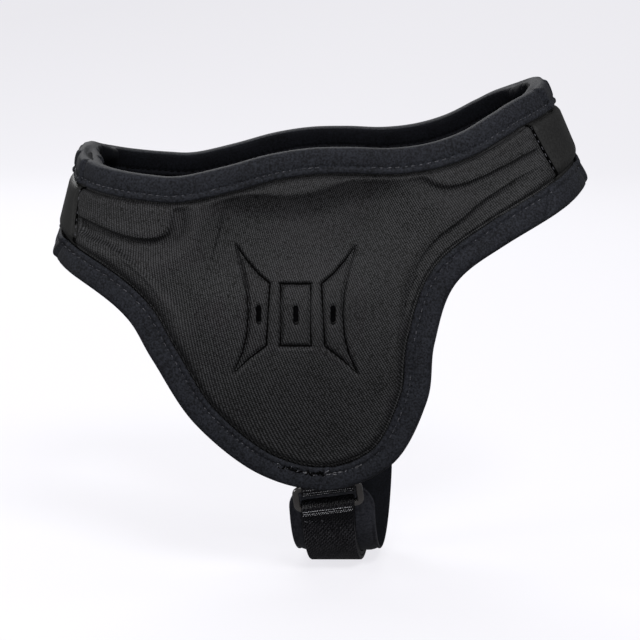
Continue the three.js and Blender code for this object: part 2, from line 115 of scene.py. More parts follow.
# the band's middle layer: its plan is two half curves, and its walls lean at the back and front
def middleAt(along, height):
    isBack = along < 0
    reach, power, total = (np.where(isBack, backArc[key], frontArc[key])
                           for key in ("reach", "power", "length"))
    walked = np.abs(along)
    isPast = walked > total
    walked = np.where(isPast, 2 * total - walked, walked)
    x, y = (np.where(isBack, np.interp(walked, backArc["walked"], backArc[key]),
                     np.interp(walked, frontArc["walked"], frontArc[key])) for key in ("x", "y"))
    outX = np.sign(x) * (np.abs(x) / reach) ** power / reach
    outY = -(np.abs(y) / band["halfWidth"]) ** power / band["halfWidth"]
    length = np.hypot(outX, outY)
    outX, outY = outX / length, outY / length
    slope = np.where(outX < 0, band["backSlope"] * -outX * (band["backPivotHeight"] - height),
                     band["frontSlope"] * outX * (band["frontPivotHeight"] - height))
    tuck = np.where(height > 0, band["tuckAtTop"] * (height / band["earToTop"]) ** 2,
                    band["tuckAtLobe"] * (height / band["earToLobe"]) ** 2)
    offset = slope - tuck * outY ** 2
    y, outY = np.where(isPast, -y, y), np.where(isPast, -outY, outY)
    return np.stack([x + outX * offset, y + outY * offset, height + 0 * x], -1)


# the layer's own directions at a place: forward, upward and outward
def directionsAt(along, height, step=0.5):
    forward = middleAt(along + step, height) - middleAt(along - step, height)
    upward = middleAt(along, height + step) - middleAt(along, height - step)
    return unit(forward), unit(upward), unit(np.cross(forward, upward))


def placeAt(along, height, offset):
    return middleAt(along, height) + directionsAt(along, height)[2] * np.asarray(offset)[..., None]


# a smooth line through points, and its direction; t counts the points
def splineAt(points, t):
    t = np.asarray(t, float)
    last = len(points) - 1
    i = np.clip(np.floor(t).astype(int), 0, last - 1)
    w = (t - i)[..., None]
    p0, p1 = points[np.maximum(i - 1, 0)], points[i]
    p2, p3 = points[i + 1], points[np.minimum(i + 2, last)]
    v0, v1 = (p2 - p0) / 2, (p3 - p1) / 2
    a, b = 2 * p1 - 2 * p2 + v0 + v1, -3 * p1 + 3 * p2 - 2 * v0 - v1
    return a * w ** 3 + b * w ** 2 + v0 * w + p1, 3 * a * w ** 2 + 2 * b * w + v0


# an edge's points from its two columns of the table, with one mirrored point past each end
def edgePoints(column):
    rows = []
    for row in edgeRows:
        along, height = row[column], row[column + 1]
        arc = backArc if along < 0 else frontArc
        rows.append((along * arc["length"], height * (band["earToLobe"] if height < 0 else band["earToTop"])))
    before = (-2 * backArc["length"] - rows[1][0], rows[1][1])
    after = (2 * frontArc["length"] - rows[-2][0], rows[-2][1])
    return np.array([before, *rows, after])


topEdge = {"points": edgePoints(0), "inward": -1}
lowEdge = {"points": edgePoints(2), "inward": 1}


# pattern points at a distance in from an edge, square to it
def insideEdge(edge, row, distance):
    row, distance = np.broadcast_arrays(row, distance)
    place, slope = splineAt(edge["points"], row + 1)
    slope = unit(slope)
    across = np.stack([-slope[..., 1], slope[..., 0]], -1) * edge["inward"]
    return place + across * distance[..., None]


# rows of the table spaced evenly along an edge, and the edge's length
def evenRows(edge, count):
    fine = np.linspace(0, lastRow, 4000)
    walked = walkedAlong(insideEdge(edge, fine, 0))
    return np.interp(np.linspace(0, walked[-1], count), walked, fine), walked[-1]


def gridFaces(rows, columns, wrapRows=False, wrapColumns=False):
    a, b = np.meshgrid(np.arange(rows if wrapRows else rows - 1),
                       np.arange(columns if wrapColumns else columns - 1), indexing="ij")
    nextRow, nextColumn = (a + 1) % rows, (b + 1) % columns
    here, after = a * columns, nextRow * columns
    return np.stack([here + b, here + nextColumn, after + nextColumn, after + b], -1).reshape(-1, 4)


def isInsideOut(points, quads):
    a, b, c, d = (points[quads[:, k]] for k in range(4))
    return (a * (np.cross(b, c) + np.cross(c, d))).sum() < 0


# a mesh piece: points in millimetres, faces as quads with odd ones after them, cloth as its map for a weave
def makePiece(name, points, quads, materials, oddFaces=(), cloth=None, faceMaterial=None):
    points = np.asarray(points, float).reshape(-1, 3)
    quads = np.asarray(quads, int)
    if isInsideOut(points, quads):
        quads = quads[:, ::-1]
        oddFaces = [face[::-1] for face in oddFaces]
    mesh = bpy.data.meshes.new(name)
    odd = [[int(k) for k in face] for face in oddFaces]
    mesh.from_pydata((points * millimetre).tolist(), [], quads.tolist() + odd)
    if cloth is not None:
        corner = np.zeros(len(mesh.loops), int)
        mesh.loops.foreach_get("vertex_index", corner)
        layer = mesh.uv_layers.new(name="cloth")
        layer.data.foreach_set("uv", (np.asarray(cloth, float).reshape(-1, 2)[corner] * clothUnit).ravel())
    for material in materials:
        mesh.materials.append(material)
    if faceMaterial is not None:
        mesh.polygons.foreach_set("material_index", np.asarray(faceMaterial, int))
    mesh.polygons.foreach_set("use_smooth", np.ones(len(mesh.polygons), bool))
    mesh.update()
    piece = bpy.data.objects.new(name, mesh)
    bpy.context.scene.collection.objects.link(piece)
    return piece


# tubes round lines of centres, each with a width one way and a height the other
def tubeRound(centre, across, outward, wide, high, count=8):
    turns = np.linspace(0, 2 * math.pi, count, endpoint=False)[None, :, None]
    return (centre[:, None] + np.reshape(wide, (-1, 1, 1)) * np.cos(turns) * across[:, None]
            + high * np.sin(turns) * outward[:, None])


def settle(piece, slotName, *nodes):
    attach(piece, "root")
    if nodes:
        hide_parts(*nodes)
    return piece


# the inputs of a node, each from a value or from the output of another node
def feed(tree, node, inputs):
    for key, value in inputs.items():
        if isinstance(value, bpy.types.NodeSocket):
            tree.links.new(value, node.inputs[key])
        else:
            node.inputs[key].default_value = value


def addNode(tree, kind, inputs, **settings):
    node = tree.nodes.new("ShaderNode" + kind)
    for key, value in settings.items():
        setattr(node, key, value)
    feed(tree, node, inputs)
    return node


# a material, its tree and its shader
def newFinish(name, inputs):
    material = bpy.data.materials.new(name)
    material.use_nodes = True
    shader = material.node_tree.nodes["Principled BSDF"]
    feed(material.node_tree, shader, inputs)
    return material, material.node_tree, shader


def grey(level, blue=1.0):
    return (level, level, level * blue, 1.0)


# two colours mixed by a soft mottle, and by a pattern where there is one; the fine grain comes back
def mottle(tree, dark, light, broadScale, grainScale, pattern=None):
    place = addNode(tree, "TexCoord", {}).outputs["Object"]
    broad = addNode(tree, "TexNoise", {"Vector": place, "Scale": broadScale, "Detail": 3.0, "Roughness": 0.6})
    grain = addNode(tree, "TexNoise", {"Vector": place, "Scale": grainScale, "Detail": 2.0, "Roughness": 0.7})
    both = addNode(tree, "Math", {0: grain.outputs["Fac"], 1: 5.0, 2: broad.outputs["Fac"]},
                   operation="MULTIPLY_ADD")
    shade = addNode(tree, "MapRange", {"Value": both.outputs[0], "From Min": 2.3, "From Max": 3.7}).outputs[0]
    if pattern is not None:
        shade = addNode(tree, "Math", {0: shade, 1: pattern}, operation="MULTIPLY").outputs[0]
    mix = addNode(tree, "Mix", {0: shade, 6: dark, 7: light}, data_type="RGBA")
    feed(tree, tree.nodes["Principled BSDF"], {"Base Color": mix.outputs[2]})
    return grain.outputs["Fac"]


def bumpFrom(tree, height, distance, strength, under=None):
    bump = addNode(tree, "Bump", {"Height": height, "Distance": distance, "Strength": strength})
    if under is not None:
        feed(tree, bump, {"Normal": under})
    return bump.outputs["Normal"]


# bands of a wave over the cloth map, a pitch apart
def clothWave(tree, pitch, turn, distortion=0.0):
    cloth = addNode(tree, "UVMap", {}, uv_map="cloth").outputs["UV"]
    turned = addNode(tree, "Mapping", {"Vector": cloth, "Rotation": (0, 0, turn)}).outputs["Vector"]
    scale = math.pi / 10 / (pitch * clothUnit)
    wave = addNode(tree, "TexWave", {"Vector": turned, "Scale": scale, "Distortion": distortion})
    return wave.outputs["Fac"]


# one pattern plus a share of another, stretched between two limits to a strength
def blendWaves(tree, main, other, share, low, high, strength):
    both = addNode(tree, "Math", {0: other, 1: share, 2: main}, operation="MULTIPLY_ADD").outputs[0]
    spread = addNode(tree, "MapRange", {"Value": both, "From Min": low, "From Max": high, "To Max": strength})
    return both, spread.outputs[0]


twill = {
    "dark": grey(0.0006, 1.1), "light": grey(0.0205, 1.08), "roughness": 0.62, "sheen": 0.008, "shine": 0.14,
    "ribPitch": 0.92, "ribWaver": 0.8, "ribLift": 0.00016, "threadPitch": 0.62, "threadTurn": 1.2,
    "threadShare": 0.45, "contrast": (0.4, 1.2, 2.0), "mottle": 60.0, "grain": 1500.0, "fuzzLift": 0.00015,
}


def makeTwill():
    material, tree, shader = newFinish("charcoalTwill", {
        "Roughness": twill["roughness"], "Sheen Weight": twill["sheen"], "Sheen Roughness": 0.4,
        "Specular IOR Level": twill["shine"]})
    rib = clothWave(tree, twill["ribPitch"], 0.0, twill["ribWaver"])
    thread = clothWave(tree, twill["threadPitch"], twill["threadTurn"])
    lift, pattern = blendWaves(tree, rib, thread, twill["threadShare"], *twill["contrast"])
    grain = mottle(tree, twill["dark"], twill["light"], twill["mottle"], twill["grain"], pattern)
    weave = bumpFrom(tree, lift, twill["ribLift"], 0.8)
    feed(tree, shader, {"Normal": bumpFrom(tree, grain, twill["fuzzLift"], 0.3, weave)})
    return material


# plain cloths and threads: dark, light, roughness, sheen, shine, grain scale and grain lift
softLooks = {
    "smoothKnit": (grey(0.0045), grey(0.01), 0.6, 0.01, 0.1, 1400.0, 0.00012),
    "brushedTape": ((0.0018, 0.002, 0.0028, 1), (0.0112, 0.0122, 0.016, 1), 0.8, 0.012, 0.1, 1350.0, 0.0002),
    # a darker copy of the tape for the inner faces of the tape and of the chin pad: painted shade
    "shadedInsideTape": ((0.0004, 0.0005, 0.0008, 1), (0.0034, 0.0038, 0.0056, 1), 0.85, 0.0, 0.06, 1900.0,
                   0.00016),
    "darkLining": (grey(0.0006, 1.2), grey(0.002, 1.2), 0.9, 0.0, 0.02, 800.0, 0.00015),
    "brushedPad": ((0.007, 0.0074, 0.01, 1), (0.02, 0.0207, 0.026, 1), 0.62, 0.02, 0.1, 1000.0, 0.00015),
    "blackThread": (grey(0.004, 1.15), grey(0.06, 1.15), 0.4, 0.0, 0.1, 2500.0, 0.0001),
    # near-black painted shade: cords in the vent creases and seams, the shaded inside stitches and the lap
    # knots
    "paintedShadeBlack": (grey(0.0004), grey(0.0012), 0.9, 0.0, 0.02, 2500.0, 0.0001),
    # pale beads on the black webbing: painted highlight
    "paintedHighlightBeads": (grey(0.08, 1.06), grey(0.5, 1.06), 0.3, 0.0, 0.4, 2500.0, 0.0001),
    # pale thread: painted highlight on the dark lap threads
    "paintedHighlightThread": (grey(0.02, 1.1), grey(0.11, 1.1), 0.45, 0.0, 0.3, 2500.0, 0.0001),
}


def makeSoft(name):
    dark, light, roughness, sheen, shine, grainScale, lift = softLooks[name]
    material, tree, shader = newFinish(name, {
        "Roughness": roughness, "Sheen Weight": sheen, "Sheen Roughness": 0.45,
        "Specular IOR Level": shine})
    grain = mottle(tree, dark, light, 90.0, grainScale)
    feed(tree, shader, {"Normal": bumpFrom(tree, grain, lift, 0.6)})
    return material


webbingLook = {
    "dark": (0.0012, 0.0012, 0.0018, 1), "light": (0.034, 0.033, 0.037, 1), "roughness": 0.4, "shine": 0.1,
    "dotPitch": 0.67, "slantPitch": 1.25, "slantTurn": 0.95, "slantShare": 1.3, "contrast": (0.4, 2.2, 1.6),
    # the loop is painted lighter low down and darker higher up: painted light and shade by height
    "paintedLightFrom": -0.082, "paintedLightTo": -0.096, "paintedLightRange": (0.35, 1.6),  # heights in metres, low on the loop
    "mottle": 200.0, "grain": 1500.0, "dotLift": 0.00025, "fuzzLift": 0.0001,
}


def makeWebbing():
    look = webbingLook
    material, tree, shader = newFinish("ribbedWebbing", {
        "Roughness": look["roughness"], "Specular IOR Level": look["shine"]})
    dots = clothWave(tree, look["dotPitch"], math.pi / 2)
    slanted = clothWave(tree, look["slantPitch"], look["slantTurn"], 0.2)
    pattern = blendWaves(tree, dots, slanted, look["slantShare"], *look["contrast"])[1]
    place = addNode(tree, "TexCoord", {}).outputs["Object"]
    height = addNode(tree, "SeparateXYZ", {0: place}).outputs["Z"]
    # painted light and shade: the weave gets lighter towards the bottom of the loop
    paintedLight = addNode(tree, "MapRange", {
        "Value": height, "From Min": look["paintedLightFrom"], "From Max": look["paintedLightTo"],
        "To Min": look["paintedLightRange"][0], "To Max": look["paintedLightRange"][1]})
    shadedPattern = addNode(tree, "Math", {0: pattern, 1: paintedLight.outputs[0]}, operation="MULTIPLY").outputs[0]
    grain = mottle(tree, look["dark"], look["light"], look["mottle"], look["grain"], shadedPattern)
    beads = bumpFrom(tree, dots, look["dotLift"], 0.9)
    feed(tree, shader, {"Normal": bumpFrom(tree, grain, look["fuzzLift"], 0.4, beads)})
    return material


ringLook = {"colour": (0.036, 0.033, 0.032, 1), "roughness": 0.16, "coat": 1.0, "coatRoughness": 0.12}


def makeRingPlastic():
    material, tree, shader = newFinish("glossyRing", {
        "Base Color": ringLook["colour"], "Roughness": ringLook["roughness"], "Coat Weight": ringLook["coat"],
        "Coat Roughness": ringLook["coatRoughness"]})
    place = addNode(tree, "TexCoord", {}).outputs["Object"]
    cloud = addNode(tree, "TexNoise", {"Vector": place, "Scale": 700.0, "Detail": 2.0}).outputs["Fac"]
    feed(tree, shader, {"Normal": bumpFrom(tree, cloud, 0.00004, 0.4)})
    return material


twillCloth = makeTwill()
webbingCloth = makeWebbing()
ringPlastic = makeRingPlastic()
softCloth = {name: makeSoft(name) for name in softLooks}
print("finishes made")

# the panels: foam between two cloths, and a cup over each ear
panel = {
    "edgeThick": 3.0, "foamOutside": 2.3, "foamInside": 1.2, "foamRamp": 2.6, "bandCrown": 0.25,
    "cupRise": 6.0, "pocketDepth": 5.0, "cupLong": 52.0, "cupHigh": 54.0, "cupForward": 3.0, "cupDrop": 7.0,
    "groove": 10.35, "shoulder": 13.5,
    "rimSteps": (1.7, 5.5, 9.0, 9.5, 9.75, 10.0, 10.25, 10.45, 10.7, 11.0, 11.45, 12.1, 12.8),
    "weltLine": 9.98, "weltRise": 0.8, "weltWide": 0.27, "weltTop": 35.0,
    "seamGap": 0.5, "seamDip": 1.6, "seamRound": 2.0,
    "reliefFade": (-0.2, 2.6), "seamFade": (0.3, 4.6),  # where the relief starts, off groove and seam
    "fineReach": 27.0, "fineStep": 0.42, "coarseStep": 0.85,
    "outerSteps": 181, "bandSteps": 61, "innerSteps": 31, "fineShares": (0.2, 0.66), "fineWeight": 2.3,
    "seamEase": 1.5, "seamDipInside": 0.6, "stationLine": 20.0,
    "weaveLean": 0.12, "frontLean": 0.48, "leanSpan": (-60, 45),  # the weave leans more towards the front
}

# the relief on the side panels, as lines on the pattern, each with its depth, its widths and where it fades
relief = {
    "backPad": {
        "line": [(-112, 40), (-98, 37.5), (-84, 33.6), (-75, 31.4), (-65, 28.3), (-57, 26.5), (-50.5, 26.7),
                 (-46.3, 28.9), (-44.8, 33.5), (-45.2, 39.5), (-46.5, 46), (-48, 64), (-112, 64)],
        "crease": 3.0, "turn": 0.5, "softTurn": 1.0, "crisp": (-38, -48), "reach": 10.0,
        "rim": 0.35, "rimAt": 1.4, "rimWide": 1.6, "rimFade": (-40, -60)},
    "crest": {
        "line": [(-98, 32.5), (-87, 28.6), (-79, 26.2), (-67.5, 22.8), (-59, 17.4), (-52.6, 11.7), (-47, 4.8),
                 (-42, -3.1), (-39.6, -12.3), (-38.6, -21.6), (-38, -31)],
        "rise": 1.0, "humpShare": 0.8, "wide": 0.9, "widening": 1.5, "widens": (0.45, 0.8),
        "fade": (1.0, 0.72), "foot": (-9, -1.5), "reach": 20.0},
    "scoop": {
        "line": [(-33, 46.5), (-24.6, 44.9), (-18.4, 43.3), (-7.5, 42.1), (1.5, 42.4), (9.4, 44.1),
                 (17.8, 47.2), (25.5, 49.2), (34, 50.2), (44, 50.6), (54, 51.5)],
        "depth": 4.8, "wide": 10.0, "lip": 0.15, "lipTurn": 0.6, "ease": 1.25, "starts": (0.0, 0.16),
        "ends": (1.0, 0.72), "foot": (41, 12), "rim": 0.35, "rimAt": 0.9, "rimWide": 1.2, "reach": 44.0},
    "frontPad": {
        "line": [(44.5, 58), (45.6, 50.8), (48.7, 47.1), (53.8, 45.3), (59.7, 46), (67.3, 48.5), (75.2, 51.8),
                 (84, 55.4), (98, 60), (112, 64), (112, 110), (44, 90)],
        "crease": 1.7, "turn": 0.6, "reach": 8.0, "fade": (100, 84),
        "rim": 0.3, "rimAt": 1.2, "rimWide": 1.4},
    "shoulder": {
        "line": [(98, 53.5), (88, 50.5), (80.6, 47.7), (75.4, 45), (66.7, 39.8), (59.2, 33.7), (50, 26.6),
                 (44.2, 18.8), (41.6, 10.2), (40.4, 0.8), (39.8, -10), (38.5, -22)],
        "drop": 1.9, "turn": 0.7, "lipReach": 8.0, "softens": (0.45, 0.8), "starts": (0.0, 0.3),
        "ends": (1.0, 0.8), "valley": 0.9, "valleyAt": 0.5, "valleyWide": 2.6, "rim": 0.35, "rimAt": -2.0,
        "rimWide": 2.4, "reach": 30.0},
}

# the vents and the outlines sunk round them: a frame between two wings
vent = {
    "frame": [(-5.6, 11), (5.6, 11), (5.4, 4), (5.4, -4), (5.8, -11), (-5.8, -11), (-5.4, -4), (-5.4, 4)],
    "wing": [(9.2, 11), (13.6, 14.6), (17.6, 19), (21.5, 24), (19, 15), (17.6, 7.5), (17.2, 0),
             (17.9, -7.5), (19.6, -14), (22.8, -21.5), (17.5, -16.4), (10.6, -11), (10, 0)],
    "drop": 0.6, "line": 1.5, "lineAt": 0.1, "lineWide": 0.62, "rim": 0.12, "rimAt": -1.2, "rimWide": 0.8,
    "creaseWide": 0.85, "creaseHigh": 0.3, "creaseLift": 0.1, "creaseStep": 0.1,
    "frameThick": (1.2, 1.0, 0.1, 0.4, 1.0, 1.2, 0.5, 0.4),  # the crease's share of its width at each corner
    "wingThick": (1.2, 1.2, 1.0, 0.2, 0.1, 0.4, 0.6, 0.8, 0.9, 0.2, 0.9, 1.2, 0.7),
    "places": [(-13.4, 0), (0, 0), (13.4, 0)], "width": 1.9, "length": 7.0,
    "mouth": 0.45, "mouthWide": (0.9, -0.2), "cut": (-80.0, -46.0), "rimCount": 32,
}


# signed distance from a line through points, and the share of the line walked, within reach of it
def fromLine(points, along, height, closed=False, isSmooth=True, reach=14.0):
    points = np.array(points, float)
    if closed:
        points = np.vstack([points, points[:1]])
    if isSmooth:
        t = np.linspace(0, len(points) - 1, (len(points) - 1) * 10 + 1)
        points = splineAt(points, t)[0]
    distance = np.full(along.shape, 99.0)
    share = np.zeros(along.shape)
    low, high = points.min(0) - reach, points.max(0) + reach
    near = (along > low[0]) & (along < high[0]) & (height > low[1]) & (height < high[1])
    place = np.stack([along[near], height[near]], -1)[:, None, :]
    start, step = points[:-1], np.diff(points, axis=0)
    part = np.clip(((place - start) * step).sum(-1) / (step ** 2).sum(-1), 0, 1)
    gap = place - start - part[..., None] * step
    length = np.hypot(gap[..., 0], gap[..., 1])
    best = length.argmin(1)
    rows = np.arange(len(best))
    side = np.sign(step[best, 0] * gap[rows, best, 1] - step[best, 1] * gap[rows, best, 0])
    distance[near] = length[rows, best] * (1 if closed else np.where(side == 0, 1, side))
    share[near] = (best + part[rows, best]) / len(start)
    if closed:
        inside = np.zeros(along.shape, bool)
        for (ax, ay), (bx, by) in zip(points[:-1], points[1:]):
            if ay != by:
                isLeft = along < (bx - ax) * (height - ay) / (by - ay) + ax
                inside ^= ((ay > height) != (by > height)) & isLeft
        distance = np.where(inside, distance, -distance)
    return distance, share


# a lip: the face turns in quickly below the line, then comes slowly out again
def lipDrop(below, depth, turn, reach):
    below = np.clip(below, 0, reach)
    return depth * (1 - np.exp(-below / turn)) * smooth(reach, reach * 0.2, below)


def rimOf(look, distance):
    return look["rim"] * hump(distance - look["rimAt"], look["rimWide"])


# how far the side panel's face stands off the plain foam, moulded detail alone
def reliefAt(along, height):
    raised = np.zeros(along.shape)

    look = relief["backPad"]
    gap, _ = fromLine(look["line"], along, height, closed=True)
    turn = look["turn"] + look["softTurn"] * (1 - smooth(*look["crisp"], along))
    raised -= lipDrop(-gap, look["crease"], turn, look["reach"])
    raised += rimOf(look, gap) * smooth(*look["rimFade"], along)

    look = relief["crest"]  # the ridge beside the low tape
    gap, share = fromLine(look["line"], along, height, reach=look["reach"])
    wide = look["wide"] + look["widening"] * smooth(*look["widens"], share)
    ridge = look["humpShare"] * hump(gap, wide) + smooth(wide, -wide, gap) * smooth(*look["foot"], gap)
    raised += look["rise"] * smooth(*look["fade"], share) * ridge

    look = relief["scoop"]  # the hollow under the flange along the top tape
    gap, share = fromLine(look["line"], along, height, reach=look["reach"])
    ends = smooth(*look["starts"], share) * smooth(*look["ends"], share)
    below = np.clip(-gap, 0, look["reach"] - 1)
    slide = np.sin(np.clip(below / look["wide"], 0, 1) * math.pi / 2) ** look["ease"]
    drop = look["lip"] * (1 - np.exp(-below / look["lipTurn"])) + (1 - look["lip"]) * slide
    raised -= ends * look["depth"] * drop * smooth(*look["foot"], below)
    raised += ends * rimOf(look, gap)

    look = relief["frontPad"]
    gap, _ = fromLine(look["line"], along, height, closed=True)
    raised -= lipDrop(-gap, look["crease"], look["turn"], look["reach"]) * smooth(*look["fade"], along)
    raised += rimOf(look, gap)

    look = relief["shoulder"]  # a crisp crease along the front arm, a soft valley lower down
    gap, share = fromLine(look["line"], along, height, reach=look["reach"])
    soft = smooth(*look["softens"], share)
    ends = smooth(*look["starts"], share) * smooth(*look["ends"], share)
    raised -= ends * (1 - soft) * lipDrop(gap, look["drop"], look["turn"], look["lipReach"])
    raised -= ends * soft * look["drop"] * look["valley"] * hump(gap - look["valleyAt"], look["valleyWide"])
    raised += ends * rimOf(look, gap)

    for outline, flip in ((vent["wing"], -1), (vent["wing"], 1), (vent["frame"], 1)):
        gap, _ = fromLine(outline, along * flip, height, closed=True, isSmooth=False)
        raised -= vent["drop"] * smooth(-0.1, 1.0, gap)
        raised -= vent["line"] * hump(gap - vent["lineAt"], vent["lineWide"])
        raised += rimOf(vent, gap)
    for x, z in vent["places"]:
        straight = (vent["length"] - vent["width"]) / 2
        rim = np.hypot(along - x, np.maximum(np.abs(height - z) - straight, 0)) - vent["width"] / 2
        raised -= vent["mouth"] * smooth(*vent["mouthWide"], rim)
    return raised


# a panel's points, a row for each station from the top to the low edge, and how far in each one lies
def panelPattern(rows, shares):
    rim = np.array(panel["rimSteps"])
    top = insideEdge(topEdge, rows[:, None], rim)
    low = insideEdge(lowEdge, rows[:, None], rim)[:, ::-1]
    upper = insideEdge(topEdge, rows, panel["shoulder"])[:, None]
    lower = insideEdge(lowEdge, rows, panel["shoulder"])[:, None]
    span = np.linalg.norm(upper - lower, axis=-1)
    middle = upper + (lower - upper) * shares[None, :, None]
    inner = panel["shoulder"] + span * np.minimum(shares, 1 - shares)[None, :]
    edge = rim + 0 * rows[:, None]
    return np.concatenate([top, middle, low], 1), np.concatenate([edge, inner, edge[:, ::-1]], 1)


def cupAt(along, height):
    ahead = (along - panel["cupForward"]) / panel["cupLong"]
    above = (height + panel["cupDrop"]) / panel["cupHigh"]
    reach = ahead ** 2 + above ** 2
    return np.where(reach < 1, (1 - reach) ** 2, 0)


# the outer face over full foam
def faceAt(along, height):
    return (panel["edgeThick"] / 2 + panel["foamOutside"] + cupAt(along, height) * panel["cupRise"]
            + reliefAt(along, height))


# both faces of a panel between two rows of the table, each with its pattern points
def makePanel(firstRow, finalRow, isCup):
    # stations along the band, close together round the vents
    fine = np.linspace(firstRow, finalRow, 3000)
    line = sum(insideEdge(edge, fine, panel["stationLine"]) for edge in (topEdge, lowEdge)) / 2
    isFine = (np.abs(line[:, 0]) < panel["fineReach"]) & isCup
    step = np.where(isFine, panel["fineStep"], panel["coarseStep"])
    walked = np.concatenate([[0], np.cumsum(np.hypot(*np.diff(line, axis=0).T) / step[1:])])
    stations = np.interp(np.linspace(0, walked[-1], int(walked[-1]) + 1), walked, fine)
    dense = np.linspace(0, 1, 4001)
    low, high = panel["fineShares"]
    weight = np.where((dense > low) & (dense < high) & isCup, panel["fineWeight"], 1.0)
    total = np.cumsum(weight)
    outerSteps = panel["outerSteps"] if isCup else panel["bandSteps"]
    outerShares = np.interp(np.linspace(total[0], total[-1], outerSteps), total, dense)
    faces = []
    for shares, outside in ((outerShares, True), (np.linspace(0, 1, panel["innerSteps"]), False)):
        pattern, distance = panelPattern(stations, shares)
        x, z = pattern[..., 0], pattern[..., 1]
        # the foam's rim is a quarter round, so the cloth dives beside the tape
        rim = np.clip((distance - panel["groove"]) / panel["foamRamp"], 0, 1)
        foam = np.sqrt(1 - (1 - rim) ** 2)
        cup = cupAt(x, z)
        # the seams are open on the outer face alone
        fromSeams = []
        nudge = np.zeros((len(stations), 1))
        if firstRow in seamRows:
            fromSeams.append(np.abs(x - x[:1]))
            nudge[0] = panel["seamGap"] / 2 * outside
        if finalRow in seamRows:
            fromSeams.append(np.abs(x[-1:] - x))
            nudge[-1] = -panel["seamGap"] / 2 * outside
        nearSeam = np.minimum.reduce(fromSeams) + panel["seamGap"] / 2
        dip = panel["seamDip"] * (1 - smooth(0, panel["seamRound"], nearSeam)) ** panel["seamEase"]
        if outside:
            offset = panel["edgeThick"] / 2 + foam * (panel["foamOutside"] + cup * panel["cupRise"]) - dip
        else:
            full = foam * (panel["foamInside"] - cup * panel["pocketDepth"])
            offset = -(panel["edgeThick"] / 2 + full - dip * panel["seamDipInside"])
        if outside and isCup:
            fromGroove = distance - panel["groove"]
            clear = smooth(*panel["reliefFade"], fromGroove) * smooth(*panel["seamFade"], nearSeam)
            offset = offset + reliefAt(x, z) * clear
            welt = panel["weltRise"] * hump(distance - panel["weltLine"], panel["weltWide"])
            offset = offset + welt * (z < panel["weltTop"])
        elif outside:
            offset = offset + panel["bandCrown"] * foam
        faces.append((placeAt(x + nudge, z, offset), (x, z)))
    return faces


# one closed piece from its outer and inner face
def joinFaces(name, outer, inner, outerMap, innerMap, materials):
    stations, countOut = outer.shape[:2]
    countIn = inner.shape[1]
    points = np.concatenate([outer, inner[:, ::-1]], 1)
    loop = countOut + countIn
    quads = gridFaces(stations, loop, wrapColumns=True)
    column = quads[:, 0] % loop
    isLining = (column >= countOut - 1) & (column < loop - 1)
    # end walls: one inner step faces several outer ones
    stepCount = (countOut - 1) / (countIn - 1)
    odd = []
    for end in (0, stations - 1):
        base = end * loop
        for k in range(countIn - 1):
            a, b = round(k * stepCount), round((k + 1) * stepCount)
            face = [base + j for j in range(a, b + 1)] + [base + loop - 2 - k, base + loop - 1 - k]
            odd.append(face if end == 0 else face[::-1])
    x, z = outerMap
    lean = panel["weaveLean"] + panel["frontLean"] * smooth(*panel["leanSpan"], x)
    cloth = np.concatenate([np.stack([x + lean * z, z], -1), np.stack(innerMap, -1)[:, ::-1]], 1)
    isLining = np.concatenate([isLining, np.ones(len(odd), bool)])
    return makePiece(name, points, quads, materials, odd, cloth, isLining)


# slots through the cup, cut with one mesh of three cutters
def cutVents(piece, side):
    radius = vent["width"] / 2
    turns = np.linspace(0, 2 * math.pi, vent["rimCount"], endpoint=False)
    lift = (vent["length"] / 2 - radius) * np.where([math.sin(turn) >= 0 for turn in turns], 1, -1)
    rimX, rimZ = radius * np.cos(turns), radius * np.sin(turns) + lift
    count = len(turns)
    points, quads, ends = [], [], []
    for x, z in vent["places"]:
        base = len(points)
        for y in vent["cut"]:
            points += [(x + a, side * y, z + b) for a, b in zip(rimX, rimZ)]
        quads += (gridFaces(2, count, wrapColumns=True) + base).tolist()
        ends += [list(range(base, base + count))[::-1], list(range(base + count, base + 2 * count))]
    cutter = makePiece("ventCutter", points, quads, [softCloth["darkLining"]], ends)
    cut = piece.modifiers.new("vents", "BOOLEAN")
    cut.operation, cut.solver, cut.object = "DIFFERENCE", "EXACT", cutter
    mesh = bpy.data.meshes.new_from_object(piece.evaluated_get(bpy.context.evaluated_depsgraph_get()))
    piece.modifiers.clear()
    old = piece.data
    piece.data = mesh
    bpy.data.meshes.remove(old)
    bpy.data.objects.remove(cutter)


# a thin near-black cord in the bottom of each vent crease, painted shade for the crease's depth
def ventCreaseShade(word, side):
    points, quads = [], []
    for form, flip in (("frame", 1), ("wing", -1), ("wing", 1)):
        outline, thick = vent[form], vent[f"{form}Thick"]
        corners = np.array(outline, float) * [flip, 1]
        corners = np.vstack([corners, corners[:1]])
        t = np.arange(0, len(outline), vent["creaseStep"])
        x, z = (np.interp(t, np.arange(len(corners)), corners[:, k]) for k in (0, 1))
        wide = np.interp(t, np.arange(len(corners)), [*thick, thick[0]]) * vent["creaseWide"] / 2
        centre = placeAt(x, z, faceAt(x, z) + vent["creaseLift"])
        outward = directionsAt(x, z)[2]
        run = unit(np.roll(centre, -1, 0) - np.roll(centre, 1, 0))
        tube = tubeRound(centre, np.cross(outward, run), outward, wide, vent["creaseHigh"])
        quads += (gridFaces(len(t), tube.shape[1], wrapRows=True, wrapColumns=True) + len(points)).tolist()
        points += (tube * [1, side, 1]).reshape(-1, 3).tolist()
    settle(makePiece(f"ventCreaseShade_{word}", points, quads, [softCloth["paintedShadeBlack"]]), "panel_cloth")


